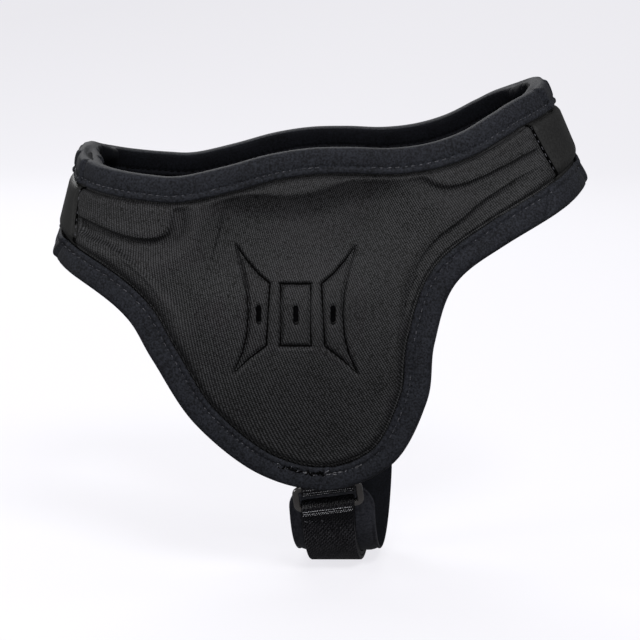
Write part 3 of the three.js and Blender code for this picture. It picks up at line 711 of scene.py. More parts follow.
def buildPanels():
    (outer, outerMap), (inner, innerMap) = makePanel(backSeamRow, frontSeamRow, True)
    for word, side in sides.items():
        flip = [1, side, 1]
        piece = joinFaces(f"sidePanel_{word}", outer * flip, inner * flip, outerMap, innerMap,
                          [twillCloth, softCloth["darkLining"]])
        cutVents(piece, side)
        ventCreaseShade(word, side)
        settle(piece, "panel_cloth", f"side_panel_{word}")
        print("side panel", word, len(piece.data.polygons), "faces")
    for name, first, final, node in (("backPanel", 0, backSeamRow, "back_panel"),
                                     ("frontPanel", frontSeamRow, lastRow, "front_panel")):
        # the left half mirrors the right one about the middle
        isBack = first == 0
        order = slice(1, None) if isBack else slice(None, -1)
        middle = -backArc["length"] if isBack else frontArc["length"]
        halves, maps = [], []
        for grid, (x, z) in makePanel(first, final, False):
            pairs = [((grid[order] * toLeft)[::-1], grid), (2 * middle - x[order][::-1], x),
                     (z[order][::-1], z)]
            whole = [np.concatenate(pair if isBack else pair[::-1]) for pair in pairs]
            halves.append(whole[0])
            maps.append(whole[1:])
        piece = joinFaces(name, *halves, *maps, [softCloth["smoothKnit"], softCloth["darkLining"]])
        settle(piece, "band_cloth", node)
    print("panels made")


# the tapes folded over both edges
tape = {
    "width": 9.5, "thick": 1.2, "clearance": 0.5, "stations": 660,
    "noseRound": 0.5, "hemRound": 0.75, "hemHigh": 0.6, "flatFade": (0.4, 2.6),
    "crown": 0.3, "crownFrom": 0.5, "crownLong": 6.0, "beadLift": 0.2, "beadIn": 1.3, "beadWide": 0.9,
    "stitchLine": 7.2, "stitchPitch": 2.6, "stitchDip": 0.45, "dipWidth": 0.55,
    "pucker": 0.16, "puckerWide": 1.6, "wave": 0.132, "waveLengths": (7.3, 3.1, 11.0),
    # rolled lips inside the corners: first and last along, how far they bulge, how far the rim sinks
    "rolls": {"topBinding": [(-116, -80, 3.2, 1.5), (92, 124, 2.6, 1.3)], "bottomBinding": []},
    # creases across the tape: along, slant, depth, width, and the hump behind it with its length
    "folds": {
        "topBinding": [(-84.5, 0.1, 0.8, 0.8, 0.9, 12), (-99, -0.1, 0.8, 1.5, 0.7, 9),
                       (-112, 0.1, 0.5, 1.5, 0.4, 8), (101, 0.35, 1.2, 0.9, 1.0, 9),
                       (116, -0.1, 0.6, 1.4, 0.6, 9)],
        "bottomBinding": [(-90, 0.5, 0.7, 0.8, 0.9, 11), (-106, -0.2, 0.5, 1.3, 0.4, 8),
                          (90, 0.9, 0.9, 0.9, 0.8, 9), (111, -0.3, 0.6, 1.3, 0.5, 8)],
    },
    # the lap of the low tape: its slant, how high its upper end stands, where that thins, and its crease
    "lapSlant": 0.7, "lapHigh": 0.6, "lapThins": (30, 8), "lapCrease": 0.45, "lapCreaseWide": 0.45,
    "lapThreadSink": 0.035, "lapThreadRise": 0.3, "lapEnds": 10.0,  # the loops stand higher in front of this
}
tapeMiddle = 5.0  # the middle of the tape's width, from which slants are measured
tapeSlot = panel["edgeThick"] / 2 + tape["clearance"]
tapeSkin = tapeSlot + tape["thick"]


# the tape's cross section as (distance in from the edge, offset), outer face first
def tapeProfile():
    nose, hem = tapeSkin * tape["noseRound"], tape["hemRound"]
    half = [(nose * (1 - math.cos(turn)), tapeSkin * math.sin(turn))
            for turn in np.linspace(0, math.pi / 2, 8)]
    half += [(x, tapeSkin) for x in np.linspace(nose + 0.35, tape["width"] - hem, 18)]
    half += [(tape["width"] - hem + hem * math.sin(turn), tapeSkin - tape["hemHigh"] * (1 - math.cos(turn)))
             for turn in np.linspace(0.35, math.pi / 2, 4)]
    half = np.array(half)
    mouth = tape["width"] - 0.3
    hidden = np.array([(mouth, -1), (5.0, -1), (1.2, -1), (1.2, 1), (5.0, 1), (mouth, 1)])
    return np.concatenate([half[::-1], half[1:] * [1, -1], hidden * [1, tapeSlot]]), 2 * len(half) - 1


# lapRow is the row where the tape's ends lap each other, if they show
def makeTape(name, node, edge, lapRow=None):
    profile, skinCount = tapeProfile()
    rows, length = evenRows(edge, tape["stations"])
    walked = np.linspace(0, length, len(rows))[:, None]
    x, offset = profile.T
    isSkin = np.arange(len(profile)) < skinCount
    outSide = np.sign(offset) * isSkin
    flat = smooth(*tape["flatFade"], x)
    crown = tape["crown"] * flat * np.sin(
        np.clip((x - tape["crownFrom"]) / tape["crownLong"], 0, 1) * math.pi)
    dip = tape["stitchDip"] * hump(x - tape["stitchLine"], tape["dipWidth"])
    bead = tape["beadLift"] * hump(x - tape["width"] + tape["beadIn"], tape["beadWide"])
    pucker = tape["pucker"] * np.cos(walked / tape["stitchPitch"] * 2 * math.pi)
    pucker = pucker * hump(x - tape["stitchLine"], tape["puckerWide"])
    longWave, shortWave, drift = tape["waveLengths"]
    wave = np.sin(walked / longWave + 1.0) + 0.7 * np.sin(walked / shortWave + 0.4 * np.sin(walked / drift))
    grid = insideEdge(edge, rows[:, None], x)
    total = offset + outSide * (crown - dip + bead + pucker + tape["wave"] * wave * flat)
    along = insideEdge(edge, rows, tapeMiddle)[:, :1]
    for place, slant, deep, wide, rise, long in tape["folds"][name]:
        away = (along - place - slant * (x - tapeMiddle)) * (-1 if place < 0 else 1)
        fold = rise * smooth(0, wide * 2, away) * smooth(long, 2, away) - deep * hump(away, wide)
        total = total + outSide * fold * smooth(-0.2, 1.5, x)
    isRolled = np.zeros(len(rows), bool)
    for first, last, bulge, sink in tape["rolls"][name]:
        middle, reach = (first + last) / 2, (last - first) / 2
        weight = np.clip(1 - ((along - middle) / reach) ** 2, 0, 1) ** 1.5
        # the rim sinks between the outer ridge and the roll inside it
        nose = hump(offset + 0.6, 1.3) * (x < 1.5) * isSkin
        grid = grid + (insideEdge(edge, rows[:, None], x + 1.0) - grid) * (weight * sink * nose)[..., None]
        roll = bulge * np.sin(np.clip((x + 0.8) / tape["width"], 0, 1) * math.pi)
        total = total - (offset < 0) * isSkin * weight * roll
        isRolled |= weight[:, 0] > 0.02
    if lapRow is not None:
        past = walked - np.interp(lapRow, rows, walked[:, 0]) - tape["lapSlant"] * (x - tapeMiddle)
        lap = tape["lapHigh"] * smooth(-0.35, 0.35, past) * smooth(*tape["lapThins"], past)
        lap = lap - tape["lapCrease"] * hump(past + 0.4, tape["lapCreaseWide"])
        total = total + outSide * lap * (offset > 0)
    right = placeAt(grid[..., 0], grid[..., 1], total)
    points = np.concatenate([right, (right[1:-1] * toLeft)[::-1]])
    run = np.concatenate([walked, walked[-1] + walked[1:-1]])
    girth = np.cumsum(np.abs(np.diff(profile, axis=0, prepend=profile[:1])).sum(1))
    cloth = np.stack(np.broadcast_arrays(run, girth), -1)
    quads = gridFaces(len(points), len(profile), wrapRows=True, wrapColumns=True)
    station, column = quads[:, 0] // len(profile), quads[:, 0] % len(profile)
    # the tape's inner faces take a darker copy of its cloth, painted shade; the rolls keep the tape's own
    # cloth on the near side alone
    rolled = np.concatenate([isRolled, np.zeros(len(rows) - 2, bool)])[station]
    isShadedInside = (~isSkin | (offset < -1.0) & (x > 0.6))[column] & ~(rolled & isSkin[column])
    piece = makePiece(name, points, quads, [softCloth["brushedTape"], softCloth["shadedInsideTape"]], cloth=cloth,
                      faceMaterial=isShadedInside)
    return settle(piece, "binding_tape", node)


# small lengths of thread, laid at places with a direction and an up direction
threadSections = [(-0.5, 0.25), (-0.42, 0.75), (-0.2, 1.0), (0.2, 1.0), (0.42, 0.75), (0.5, 0.25)]
threadSides = 6
threadFlatness = 0.8


def makeStitches(name, places, runs, ups, long, wide, slotName, material):
    turns = np.linspace(0, 2 * math.pi, threadSides, endpoint=False)
    shape = np.array([[s, r * math.cos(t), r * math.sin(t)] for s, r in threadSections for t in turns])
    runs = unit(runs)
    cross = unit(np.cross(ups, runs))
    ups = np.cross(runs, cross)
    sizes = np.stack(np.broadcast_arrays(long, wide / 2 + 0 * places[:, 0], wide * threadFlatness / 2), 1)
    local = shape[None] * sizes[:, None]
    points = (places[:, None] + local[..., :1] * runs[:, None] + local[..., 1:2] * cross[:, None]
              + local[..., 2:] * ups[:, None])
    body = gridFaces(len(threadSections), threadSides, wrapColumns=True)
    ends = [list(range(threadSides))[::-1], list(range(len(shape) - threadSides, len(shape)))]
    bases = np.arange(len(places)) * len(shape)
    quads = (body[None] + bases[:, None, None]).reshape(-1, 4)
    odd = [[k + base for k in end] for base in bases for end in ends]
    return settle(makePiece(name, points, quads, [material], odd), slotName)


# the same threads on the right and on the left
def onBothSides(*grids):
    return [np.concatenate([grid, grid * toLeft]) for grid in grids]


# places on the tape, the direction along it, slanted by a share of upward, and the outward direction
def threadsOnTape(edge, rows, inward, height, slant):
    line, ahead = insideEdge(edge, rows, inward), insideEdge(edge, rows + 0.01, inward)
    start = placeAt(*line.T, height)
    _, upward, outward = directionsAt(*line.T)
    return start, unit(placeAt(*ahead.T, height) - start) + upward * slant[:, None], outward


stitch = {
    "long": 1.8, "shortest": 0.55, "wide": 0.4, "lean": 0.12, "leanSpread": 0.07, "mostLean": 1.2,
    "lift": 0.08, "liftSpread": 0.09, "looseSpread": 0.7, "looseLean": 0.6, "looseLift": 0.1,
    "back": (-40, -75), "backLift": 0.16, "backLonger": 0.3,  # at the back the thread lies on the tape
}


# a tape's lockstitches, outside and inside, and loose ones over a lap: its row, their reach and their count
def tapeStitches(name, edge, loose=None):
    count = int(evenRows(edge, 2)[1] / tape["stitchPitch"])
    rows = evenRows(edge, count * 2 + 1)[0][1::2]
    inward = np.full(len(rows), tape["stitchLine"])
    turn = dice.normal(0, stitch["leanSpread"], len(rows))
    if loose:
        row, reach, extra = loose
        nearest = rows[np.argmin(np.abs(rows - row))]
        rows = np.concatenate([rows, nearest + dice.uniform(-reach, reach, extra)])
        inward = np.concatenate([inward, tape["stitchLine"] + dice.normal(0, stitch["looseSpread"], extra)])
        turn = np.concatenate([turn, dice.normal(0, stitch["looseLean"], extra)])
    atBack = smooth(*stitch["back"], insideEdge(edge, rows, inward)[:, 0])
    lift = stitch["lift"] + stitch["backLift"] * atBack + dice.normal(0.0, stitch["liftSpread"], len(rows))
    lift = lift + stitch["looseLift"] * (inward != tape["stitchLine"])
    long = stitch["long"] * (dice.uniform(stitch["shortest"], 1.0, len(rows)) + stitch["backLonger"] * atBack)
    slant = np.tan(np.clip(turn + stitch["lean"], -stitch["mostLean"], stitch["mostLean"]))
    # inside, the stitches take the near-black finish, a shaded copy of the black thread: painted shade
    for face, ending, material in ((1, "", "blackThread"), (-1, "Inside", "paintedShadeBlack")):
        height = face * (tapeSkin - tape["stitchDip"] + lift)
        places, runs, ups = threadsOnTape(edge, rows, inward, height, slant)
        makeStitches(name + ending, *onBothSides(places, runs, ups * face), np.tile(long, 2),
                     stitch["wide"], "binding_tape", softCloth[material])


# what tacks down the low tape's lap: near-black knots (painted shade) with pale ticks between them, and pale
# loops in front of it (pale thread, painted highlight), as first and last along, count, length, spread across
# the tape, width and finish
lapThreads = {
    "lapKnots": (-7.0, 10.0, 34, 1.5, 0.45, 0.62, "paintedShadeBlack"),
    "lapLoops": (11.5, 24.0, 22, 2.8, 0.5, 0.36, "paintedHighlightThread"),
    "lapTicks": (-7.0, 10.0, 22, 0.9, 0.6, 0.34, "paintedHighlightThread"),
}


def lapStitches():
    fine = np.linspace(lobeRow - 1.6, lobeRow + 1.6, 400)
    alongs = insideEdge(lowEdge, fine, tape["stitchLine"])[:, 0]
    for name, (first, last, count, long, spread, wide, material) in lapThreads.items():
        rows = np.interp(dice.uniform(first, last, count), alongs, fine)
        inward = tape["stitchLine"] + dice.normal(0, spread, count)
        isOnLap = insideEdge(lowEdge, rows, inward)[:, 0] > tape["lapEnds"]
        height = tapeSkin - tape["lapThreadSink"] + tape["lapThreadRise"] * isOnLap
        threads = threadsOnTape(lowEdge, rows, inward, height, dice.normal(0.15, 0.35, count))
        long = long * dice.uniform(0.6, 1.0, count)
        makeStitches(name, *onBothSides(*threads), np.tile(long, 2), wide, "binding_tape",
                     softCloth[material])


seam = {
    "pitch": 2.6, "long": 1.5, "wide": 0.4, "sink": 0.05, "cordWide": 0.75, "cordSink": 0.75,
    "cordFrom": 10.1, "stitchFrom": 11.5, "beside": {backSeamRow: 1.0, frontSeamRow: -0.9},
}


# a near-black cord in the bottom of each of the four seams, painted shade for the seam's gap
def seamShadeCords():
    points, quads = [], []
    count = 60
    for row in seamRows:
        top, low = (insideEdge(edge, row, seam["cordFrom"]) for edge in (topEdge, lowEdge))
        line = top + (low - top) * np.linspace(0, 1, count)[:, None]
        ends = np.clip(np.minimum(np.arange(count), np.arange(count)[::-1]) / 5, 0, 1)
        foam = panel["foamOutside"] * np.sqrt(1 - (1 - ends) ** 2)
        centre = placeAt(*line.T, panel["edgeThick"] / 2 + foam - seam["cordSink"])
        forward, _, outward = directionsAt(*line.T)
        tube = tubeRound(centre, forward, outward, seam["cordWide"] / 2, seam["cordWide"] / 2)
        for side in sides.values():
            quads += (gridFaces(count, tube.shape[1], wrapColumns=True) + len(points)).tolist()
            points += (tube * [1, side, 1]).reshape(-1, 3).tolist()
    settle(makePiece("seamShadeCords", points, quads, [softCloth["paintedShadeBlack"]]), "panel_cloth")


# short ticks of thread along the four seams
def seamStitches():
    threads = []
    for row in seamRows:
        top, low = (insideEdge(edge, row, seam["stitchFrom"]) for edge in (topEdge, lowEdge))
        length = np.linalg.norm(low - top)
        line = top + (low - top) * np.arange(0.02, 0.98, seam["pitch"] / length)[:, None]
        line[:, 0] += seam["beside"][row]
        ahead = line + 0.2 * (low - top) / length
        height = panel["edgeThick"] / 2 + panel["foamOutside"] - seam["sink"]
        height = height + dice.normal(0, 0.06, len(line))
        start = placeAt(*line.T, height)
        threads.append(onBothSides(start, placeAt(*ahead.T, height) - start, directionsAt(*line.T)[2]))
    places, runs, ups = (np.concatenate(part) for part in zip(*threads))
    long = seam["long"] * dice.uniform(0.6, 1.0, len(places))
    makeStitches("seamStitches", places, runs, ups, long, seam["wide"], "panel_cloth",
                 softCloth["blackThread"])


# the webbing, rings, strap and pad below the cups
webbing = {
    "width": 20.0, "thick": 1.6, "edgeRound": 0.5, "ribPitch": 1.07, "ribDepth": 0.24,
    "step": 0.24, "across": 10, "beadPitch": 0.67, "beadLong": 0.32, "beadWide": 0.35, "beadMargin": 0.7,
    "upperRows": (168, 192, 214), "lowerRows": (180, 201, 222),  # turns round the bar, in degrees
    "beadLift": 0.4, "beadSpread": 0.015, "beadShortest": 0.7,
    "looseStitches": 60, "looseWide": 0.34, "looseLong": (0.8, 2.0), "looseBelow": (0.6, 3.2),
    "looseLift": 0.25, "looseSlant": 0.5,
}
ring = {
    "width": 26.6, "height": 10.4, "thick": 2.0, "bar": 2.0, "sideBar": 2.5, "corner": 3.0,
    "squareness": 0.55, "sectionCount": 20,
    "tilt": math.radians(8), "lean": math.radians(15), "drop": 2.4,
}
strap = {
    "anchorLength": 14.0, "anchorClearance": 0.8, "barClearance": 0.3, "foldGap": 0.1, "chinDrop": 28.4,
    "drift": 9.6, "layerGap": 0.06,
}
pad = {
    "width": 32.5, "thick": 2.5, "corner": 10.0, "clearance": 0.4, "forward": 1.0,
    "rim": 1.5, "rimPress": 0.2, "rimWide": 0.5, "rimThick": 0.42, "rimSwell": 0.16, "swell": 0.42,
    "swellTo": 4.5, "stations": 150, "across": 61,
}

lobe = splineAt(lowEdge["points"], lobeRow + 1.0)[0]
lobeBase = middleAt(lobe[0], lobe[1])
lobeUp = unit((middleAt(lobe[0], lobe[1] + strap["anchorLength"]) - lobeBase)[1:])
lobeIn = np.array([lobeUp[1], -lobeUp[0]])
anchorFace = tapeSkin + strap["anchorClearance"]
eyeInner = ring["bar"] / 2 + strap["barClearance"]
eyeMiddle = eyeInner + webbing["thick"] / 2
eyeOuter = eyeInner + webbing["thick"]
tiltSlope = math.tan(ring["tilt"])
ringUp = np.array([-math.sin(ring["lean"]), math.cos(ring["lean"])])
ringIn = np.array([math.cos(ring["lean"]), math.sin(ring["lean"])])
upperBar = lobeBase[1:] + lobeIn * (anchorFace + eyeOuter) - lobeUp * ring["drop"]
lowerBar = upperBar - ringUp * (ring["height"] - ring["bar"])
strapStart = lowerBar + ringIn * (eyeOuter - webbing["thick"])
chinRise = math.tan(ring["lean"]) * strap["chinDrop"]
startSine = chinRise / (-strapStart[0] - chinRise)
chin = {
    "startTurn": math.asin(startSine), "halfWide": -strapStart[0] / math.sqrt(1 - startSine ** 2),
    "halfDeep": strap["chinDrop"] / (1 - startSine),
    "height": strapStart[1] - strap["chinDrop"] + strap["chinDrop"] / (1 - startSine),
}


# the strap lies further forward on the left
def strapMiddle(y):
    share = np.clip((y - strapStart[0]) / (-2 * strapStart[0]), 0, 1)
    return lobeBase[0] + strap["drift"] * share


def chinPoint(turn, outward):
    return np.stack([-(chin["halfWide"] + outward) * np.cos(turn),
                     chin["height"] - (chin["halfDeep"] + outward) * np.sin(turn)], -1)


# points spaced evenly along a path drawn in Y and Z, with its left-hand normal
def evenPath(points, step, closed=False):
    points = np.asarray(points, float)
    if closed:
        points = np.vstack([points, points[:1]])
    walked = walkedAlong(points)
    at = np.linspace(0, walked[-1], max(4, int(walked[-1] / step)) + 1)
    path = np.stack([np.interp(at, walked, points[:, k]) for k in (0, 1)], -1)
    if closed:
        path, at = path[:-1], at[:-1]
        slope = np.roll(path, -1, 0) - np.roll(path, 1, 0)
    else:
        slope = np.gradient(path, axis=0)
    slope = unit(slope)
    return path, np.stack([-slope[:, 1], slope[:, 0]], -1), at


# one ribbed strip of webbing along a path; gripAt says how much of the ring's tilt it takes at a height
def sweepStrip(name, path, normal, at, gripAt, closed):
    half, edge = webbing["width"] / 2, webbing["edgeRound"]
    turns = np.linspace(-math.pi / 2, math.pi / 2, 5)[1:-1]
    across = np.linspace(-half + edge, half - edge, webbing["across"])
    section = [(a, 1.0) for a in across] + [(half - edge + edge * math.cos(t), -math.sin(t)) for t in turns]
    section += [(-a, -b) for a, b in section]
    sideways, through = np.array(section).T[:, None]
    ribs = webbing["ribDepth"] * (np.abs(np.sin(at / webbing["ribPitch"] * math.pi)) ** 0.7 - 0.6)
    thick = (webbing["thick"] / 2 + ribs)[:, None] * through
    y = path[:, :1] + normal[:, :1] * thick
    z = path[:, 1:] + normal[:, 1:] * thick
    lift = tiltSlope * sideways * gripAt(z)
    x = strapMiddle(y) + sideways
    points = np.stack([x, y - np.sign(y) * ringUp[0] * lift, z + ringUp[1] * lift], -1)
    cloth = np.stack(np.broadcast_arrays(at[:, None], sideways), -1)
    count, total = len(section), len(path) * len(section)
    odd = [] if closed else [list(range(count))[::-1], list(range(total - count, total))]
    quads = gridFaces(len(path), count, wrapRows=closed, wrapColumns=True)
    return makePiece(name, points, quads, [webbingCloth], odd, cloth)


def wrapArc(centre, inward, upward, radius, first, last):
    turns = np.linspace(math.radians(first), math.radians(last), 30)
    return [centre + radius * (math.cos(t) * inward + math.sin(t) * upward) for t in turns]


# a piece of the right side moved to the left, where the strap lies further forward
def mirrorPiece(piece):
    place = np.zeros(len(piece.data.vertices) * 3)
    piece.data.vertices.foreach_get("co", place)
    place = place.reshape(-1, 3) * toLeft + [millimetre * strap["drift"], 0, 0]
    piece.data.vertices.foreach_set("co", place.ravel())
    piece.data.flip_normals()
    piece.data.update()


def makeAnchors():
    leg = anchorFace + webbing["thick"] / 2
    top = lobeBase[1:] + lobeUp * strap["anchorLength"]
    start = top + lobeIn * leg
    back = top + lobeIn * (leg + webbing["thick"] + strap["foldGap"])
    route = [start, *wrapArc(upperBar, lobeIn, lobeUp, eyeMiddle, 180, 405), back]
    path, normal, at = evenPath(route, webbing["step"])
    for word in sides:
        piece = sweepStrip(f"strapAnchor_{word}", path, normal, at, lambda z: 1.0, False)
        if word == "left":
            mirrorPiece(piece)
        settle(piece, "webbing", f"strap_anchor_{word}")
    print("anchors made")


# rows of beads where the webbing bends round a bar, the middle rows half a pitch along; their pale finish is
# painted highlight
def makeBeads():
    places, runs, ups = [], [], []
    half = webbing["width"] / 2 - webbing["beadMargin"]
    across = np.arange(-half, half, webbing["beadPitch"])
    lift = tiltSlope * across
    for bar, inward, upward, turns in ((upperBar, lobeIn, lobeUp, webbing["upperRows"]),
                                       (lowerBar, ringIn, ringUp, webbing["lowerRows"])):
        for turn in turns:
            outward = math.cos(math.radians(turn)) * inward + math.sin(math.radians(turn)) * upward
            y, z = bar + outward * (eyeOuter + webbing["ribDepth"] * webbing["beadLift"])
            shift = webbing["beadPitch"] / 2 if turn == turns[1] else 0.0
            for side in sides.values():
                x = strapMiddle(side * y) + shift + across
                places.append(np.stack([x, side * (y + ringUp[0] * lift), z + ringUp[1] * lift], -1))
                runs.append(np.tile([1.0, 0.0, tiltSlope], (len(across), 1)))
                ups.append(np.tile([0.0, side * outward[0], outward[1]], (len(across), 1)))
    places, runs, ups = map(np.concatenate, (places, runs, ups))
    places = places + dice.normal(0, webbing["beadSpread"], places.shape)
    long = webbing["beadLong"] * dice.uniform(webbing["beadShortest"], 1.0, len(places))
    makeStitches("paintedHighlightBeads", places, runs, ups, long, webbing["beadWide"], "webbing",
                 softCloth["paintedHighlightBeads"])
    print("beads made")


# loose stitches that close the chin strap's loop below the ring
def looseStitches():
    half = webbing["width"] / 2 - webbing["beadMargin"]
    count = webbing["looseStitches"]
    down = dice.uniform(*webbing["looseBelow"], count * 2)
    x = dice.uniform(-half, half, count * 2)
    side = np.repeat([1, -1], count)
    turn = chin["startTurn"] + (down + eyeOuter) / (chin["halfWide"] + 2)
    line = chinPoint(turn, webbing["thick"] + webbing["looseLift"])
    ahead = chinPoint(turn + 0.01, webbing["thick"] + webbing["looseLift"]) - line
    y = side * line[:, 0]
    places = np.stack([strapMiddle(y) + x, y, line[:, 1] + tiltSlope * x], -1)
    ups = np.stack([0 * x, -side * ahead[:, 1], ahead[:, 0]], -1)
    slant = dice.normal(0, webbing["looseSlant"], count * 2)
    runs = np.stack([np.cos(slant), 0 * slant, np.sin(slant)], -1)
    long = dice.uniform(*webbing["looseLong"], count * 2)
    makeStitches("looseStitches", places, runs, ups, long, webbing["looseWide"], "webbing",
                 softCloth["blackThread"])


def makeChinStrap():
    turns = np.linspace(chin["startTurn"], math.pi - chin["startTurn"], 200)
    outer = chinPoint(turns, webbing["thick"] / 2 + strap["layerGap"])
    inner = chinPoint(turns, -webbing["thick"] / 2 - strap["layerGap"])
    outer = outer[outer[:, 1] < lowerBar[1] - eyeOuter - 3]
    rightEye = np.array(wrapArc(lowerBar, ringIn, ringUp, eyeMiddle, 225, 0))
    leftEye = (rightEye * [-1, 1])[::-1]
    loop = np.concatenate([rightEye, inner[3:-3], leftEye, outer[::-1]])
    path, normal, at = evenPath(loop, webbing["step"], closed=True)
    for _ in range(6):
        path = (np.roll(path, 1, 0) + 2 * path + np.roll(path, -1, 0)) / 4
    # the strap takes up the ring's tilt over its upper half
    levelHeight = strapStart[1] - strap["chinDrop"] * 0.55
    piece = sweepStrip("chinStrap", path, normal, at,
                       lambda z: smooth(levelHeight, lowerBar[1] - eyeOuter, z), True)
    settle(piece, "webbing", "chin_strap")
    print("chin strap made")


def makeRings():
    halfWide, halfHigh = ring["width"] / 2, ring["height"] / 2
    cornerX, cornerY = halfWide - ring["corner"], halfHigh - ring["corner"]
    outline = []
    for x, y, first in ((cornerX, -cornerY, -90), (cornerX, cornerY, 0), (-cornerX, cornerY, 90),
                        (-cornerX, -cornerY, 180)):
        for turn in np.radians(np.linspace(first, first + 90, 12)):
            outX, outY = math.cos(turn), math.sin(turn)
            outline.append((x + ring["corner"] * outX, y + ring["corner"] * outY, outX, outY))
    x, y, outX, outY = np.array(outline).T[:, :, None]
    # a rounded square section, wider at the sides than along the bars
    turns = np.linspace(0, 2 * math.pi, ring["sectionCount"], endpoint=False)
    inward, through = (np.sign(wave) * np.abs(wave) ** ring["squareness"]
                       for wave in (np.cos(turns), np.sin(turns)))
    deep = (ring["bar"] + (ring["sideBar"] - ring["bar"]) * np.abs(outX) ** 2) * (inward + 1) / 2
    across, upward = x - outX * deep, y - outY * deep
    # tilted in its own plane, then leaning with the strap
    tiltedX = across * math.cos(ring["tilt"]) - upward * math.sin(ring["tilt"])
    tiltedUp = (across * math.sin(ring["tilt"]) + upward * math.cos(ring["tilt"]))[..., None]
    depth = (through * ring["thick"] / 2 + 0 * across)[..., None]
    place = (upperBar + lowerBar) / 2 + tiltedUp * ringUp + depth * ringIn
    for word, side in sides.items():
        x = strapMiddle(side * upperBar[0]) + tiltedX
        points = np.stack([x, side * place[..., 0], place[..., 1]], -1)
        piece = makePiece(f"strapRing_{word}", points, gridFaces(*x.shape, True, True), [ringPlastic])
        settle(piece, "ring_plastic", f"strap_ring_{word}")
    print("rings made")


def makeChinPad():
    offset = -(webbing["thick"] + pad["clearance"] + pad["thick"] / 2)
    first = math.asin((chin["height"] - upperBar[1]) / (chin["halfDeep"] + offset))
    fine = np.linspace(first, math.pi - first, 2000)
    walked = walkedAlong(chinPoint(fine, offset))
    total = walked[-1]
    nearEnd = np.array([0, 0.25, 0.6])
    at = np.concatenate([nearEnd, np.linspace(1.0, total - 1.0, pad["stations"]), total - nearEnd[::-1]])
    turns = np.interp(at, walked, fine)
    fromEnd = np.minimum(at, total - at)[:, None]
    corner = np.clip(pad["corner"] - fromEnd, 0, None)
    half = pad["width"] / 2 - pad["corner"] + np.sqrt(np.maximum(pad["corner"] ** 2 - corner ** 2, 0.3))
    across = np.sin(np.linspace(-math.pi / 2, math.pi / 2, pad["across"]))
    edge = np.minimum(half * (1 - np.abs(across)), np.sqrt(fromEnd) * 1.6 + fromEnd * 0.4)
    # thin and round at the rim, a pressed line, then full
    body = pad["rimThick"] + pad["rimSwell"] * smooth(0, 0.7, edge)
    body = body - pad["rimPress"] * hump(edge - pad["rim"], pad["rimWide"])
    body = body + pad["swell"] * smooth(pad["rim"], pad["swellTo"], edge)
    thick = pad["thick"] / 2 * body * np.sqrt(smooth(-0.02, 0.35, edge) + 0.001)
    middle = strapMiddle(chinPoint(turns, offset)[:, 0])[:, None] + pad["forward"]
    faces = []
    for direction in (1, -1):
        place = chinPoint(turns[:, None] + 0 * edge, offset + direction * thick)
        faces.append(np.stack([middle + half * across, place[..., 0], place[..., 1]], -1))
    points = np.concatenate([faces[0], faces[1][:, ::-1]], 1)
    loop = points.shape[1]
    last = pad["across"] - 1
    quads = gridFaces(len(turns), loop, wrapColumns=True)
    odd = []
    for end in (0, len(turns) - 1):
        for a in range(end * loop, end * loop + last):
            b = 2 * end * loop + loop - 1 - a
            odd.append([a, a + 1, b - 1, b] if end == 0 else [a, b, b - 1, a + 1])
    # the pad's inner face takes the darker inside tape finish, painted shade
    isShadedInner = quads[:, 0] % loop >= last
    piece = makePiece("chinPad", points, quads, [softCloth["brushedPad"], softCloth["shadedInsideTape"]], odd,
                      faceMaterial=np.concatenate([isShadedInner, np.zeros(len(odd), bool)]))
    settle(piece, "pad_cloth", "chin_pad")
    print("chin pad made")


buildPanels()
makeTape("topBinding", "top_binding", topEdge)
makeTape("bottomBinding", "bottom_binding", lowEdge, lobeRow - 0.05)
tapeStitches("topStitches", topEdge)
tapeStitches("bottomStitches", lowEdge, (lobeRow + 0.05, 0.42, 30))
lapStitches()
seamShadeCords()
seamStitches()
print("tapes made")
makeAnchors()
makeBeads()
looseStitches()
makeRings()
makeChinStrap()
makeChinPad()

# the floor, the light and the camera, in metres
studio = {
    "floor": grey(0.11, 1.03), "floorGlow": (0.965, 0.955, 1.0, 1), "glowStrength": 0.795, "floorGap": 0.0005,
    "floorSide": 3.0, "floorFront": -2.5, "floorBack": 1.6, "floorBend": 0.8, "wallHeight": 4.0,
    "worldColour": (0.95, 0.96, 1.0, 1), "worldStrength": 0.14,
    "aim": (0.0087, -0.055, -0.0031), "distance": 0.8, "elevation": 9.2, "lens": 123.75,
    # each light's place, aim, size and power
    "lights": {
        "keyLight": ((0.3, -1.2, 1.03), (0, 0, 0), 0.45, 33),
        "fillLight": ((0.1, -1.3, -0.03), (0, 0, -0.03), 0.12, 7.5),
        "farLight": ((-0.4, 1.4, 1.0), (0, 0, 0), 0.7, 26),
        "topLight": ((-0.1, 0.1, 1.5), (0, 0, 0), 0.9, 8),
        "backLight": ((-1.4, -0.2, 0.4), (0, 0, 0), 0.5, 11),
        "frontLight": ((1.3, -0.15, 0.8), (0, 0, 0), 0.5, 4),
    },
}


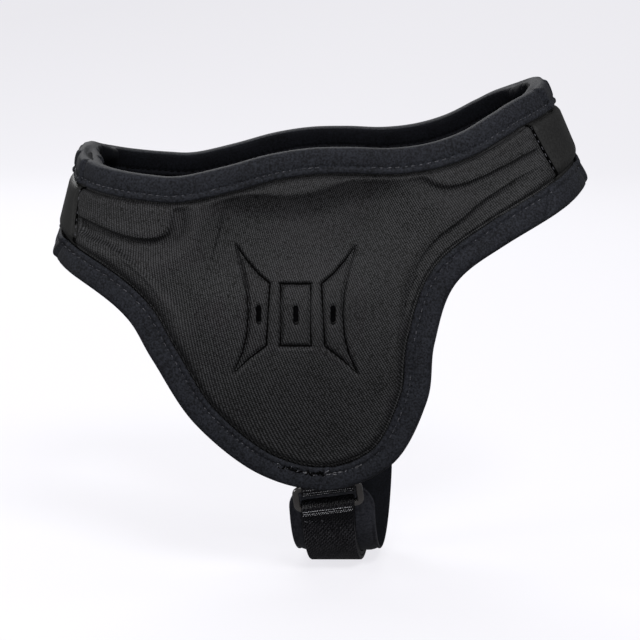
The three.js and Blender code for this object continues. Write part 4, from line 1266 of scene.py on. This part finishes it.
def makeFloor():
    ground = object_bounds()[0][2] - studio["floorGap"]
    side, back, bend = studio["floorSide"], studio["floorBack"], studio["floorBend"]
    profile = [(studio["floorFront"], 0.0), (-0.5, 0.0), (0.5, 0.0), (back, 0.0)]
    profile += [(back + bend * math.sin(turn), bend * (1 - math.cos(turn)))
                for turn in np.linspace(0.1, math.pi / 2, 14)]
    profile.append((back + bend, studio["wallHeight"]))
    points = np.array([(x, y, ground + z) for y, z in profile for x in (-side, 0, side)]) / millimetre
    material = newFinish("paleFloor", {
        "Roughness": 0.9, "Specular IOR Level": 0.1, "Base Color": studio["floor"],
        "Emission Color": studio["floorGlow"], "Emission Strength": studio["glowStrength"]})[0]
    floor = makePiece("floor", points, gridFaces(len(profile), 3), [material])
    # the floor shows behind the guard without lighting it from below
    floor.visible_diffuse = False
    floor.visible_glossy = False


def addLight(name, place, aim, size, power):
    data = bpy.data.lights.new(name, "AREA")
    data.shape, data.size, data.energy = "DISK", size, power
    light = bpy.data.objects.new(name, data)
    light.location = place
    light.rotation_mode = "QUATERNION"
    light.rotation_quaternion = (Vector(aim) - Vector(place)).to_track_quat("-Z", "Y")
    bpy.context.scene.collection.objects.link(light)


def makeStudio():
    world = bpy.data.worlds.new("studio")
    world.use_nodes = True
    feed(world.node_tree, world.node_tree.nodes["Background"],
         {"Color": studio["worldColour"], "Strength": studio["worldStrength"]})
    bpy.context.scene.world = world
    for name, settings in studio["lights"].items():
        addLight(name, *settings)
    bpy.context.scene.view_settings.view_transform = "Standard"
    elevation = math.radians(studio["elevation"])
    camera = bpy.data.cameras.new("camera")
    camera.lens = studio["lens"]
    camera.sensor_width = 36
    camera.clip_start, camera.clip_end = 0.05, 20
    holder = bpy.data.objects.new("camera", camera)
    x, y, z = studio["aim"]
    away = studio["distance"]
    holder.location = (x, y - away * math.cos(elevation), z + away * math.sin(elevation))
    holder.rotation_euler = (math.pi / 2 - elevation, 0, 0)
    bpy.context.scene.collection.objects.link(holder)
    bpy.context.scene.camera = holder


makeFloor()
makeStudio()
print("studio made")
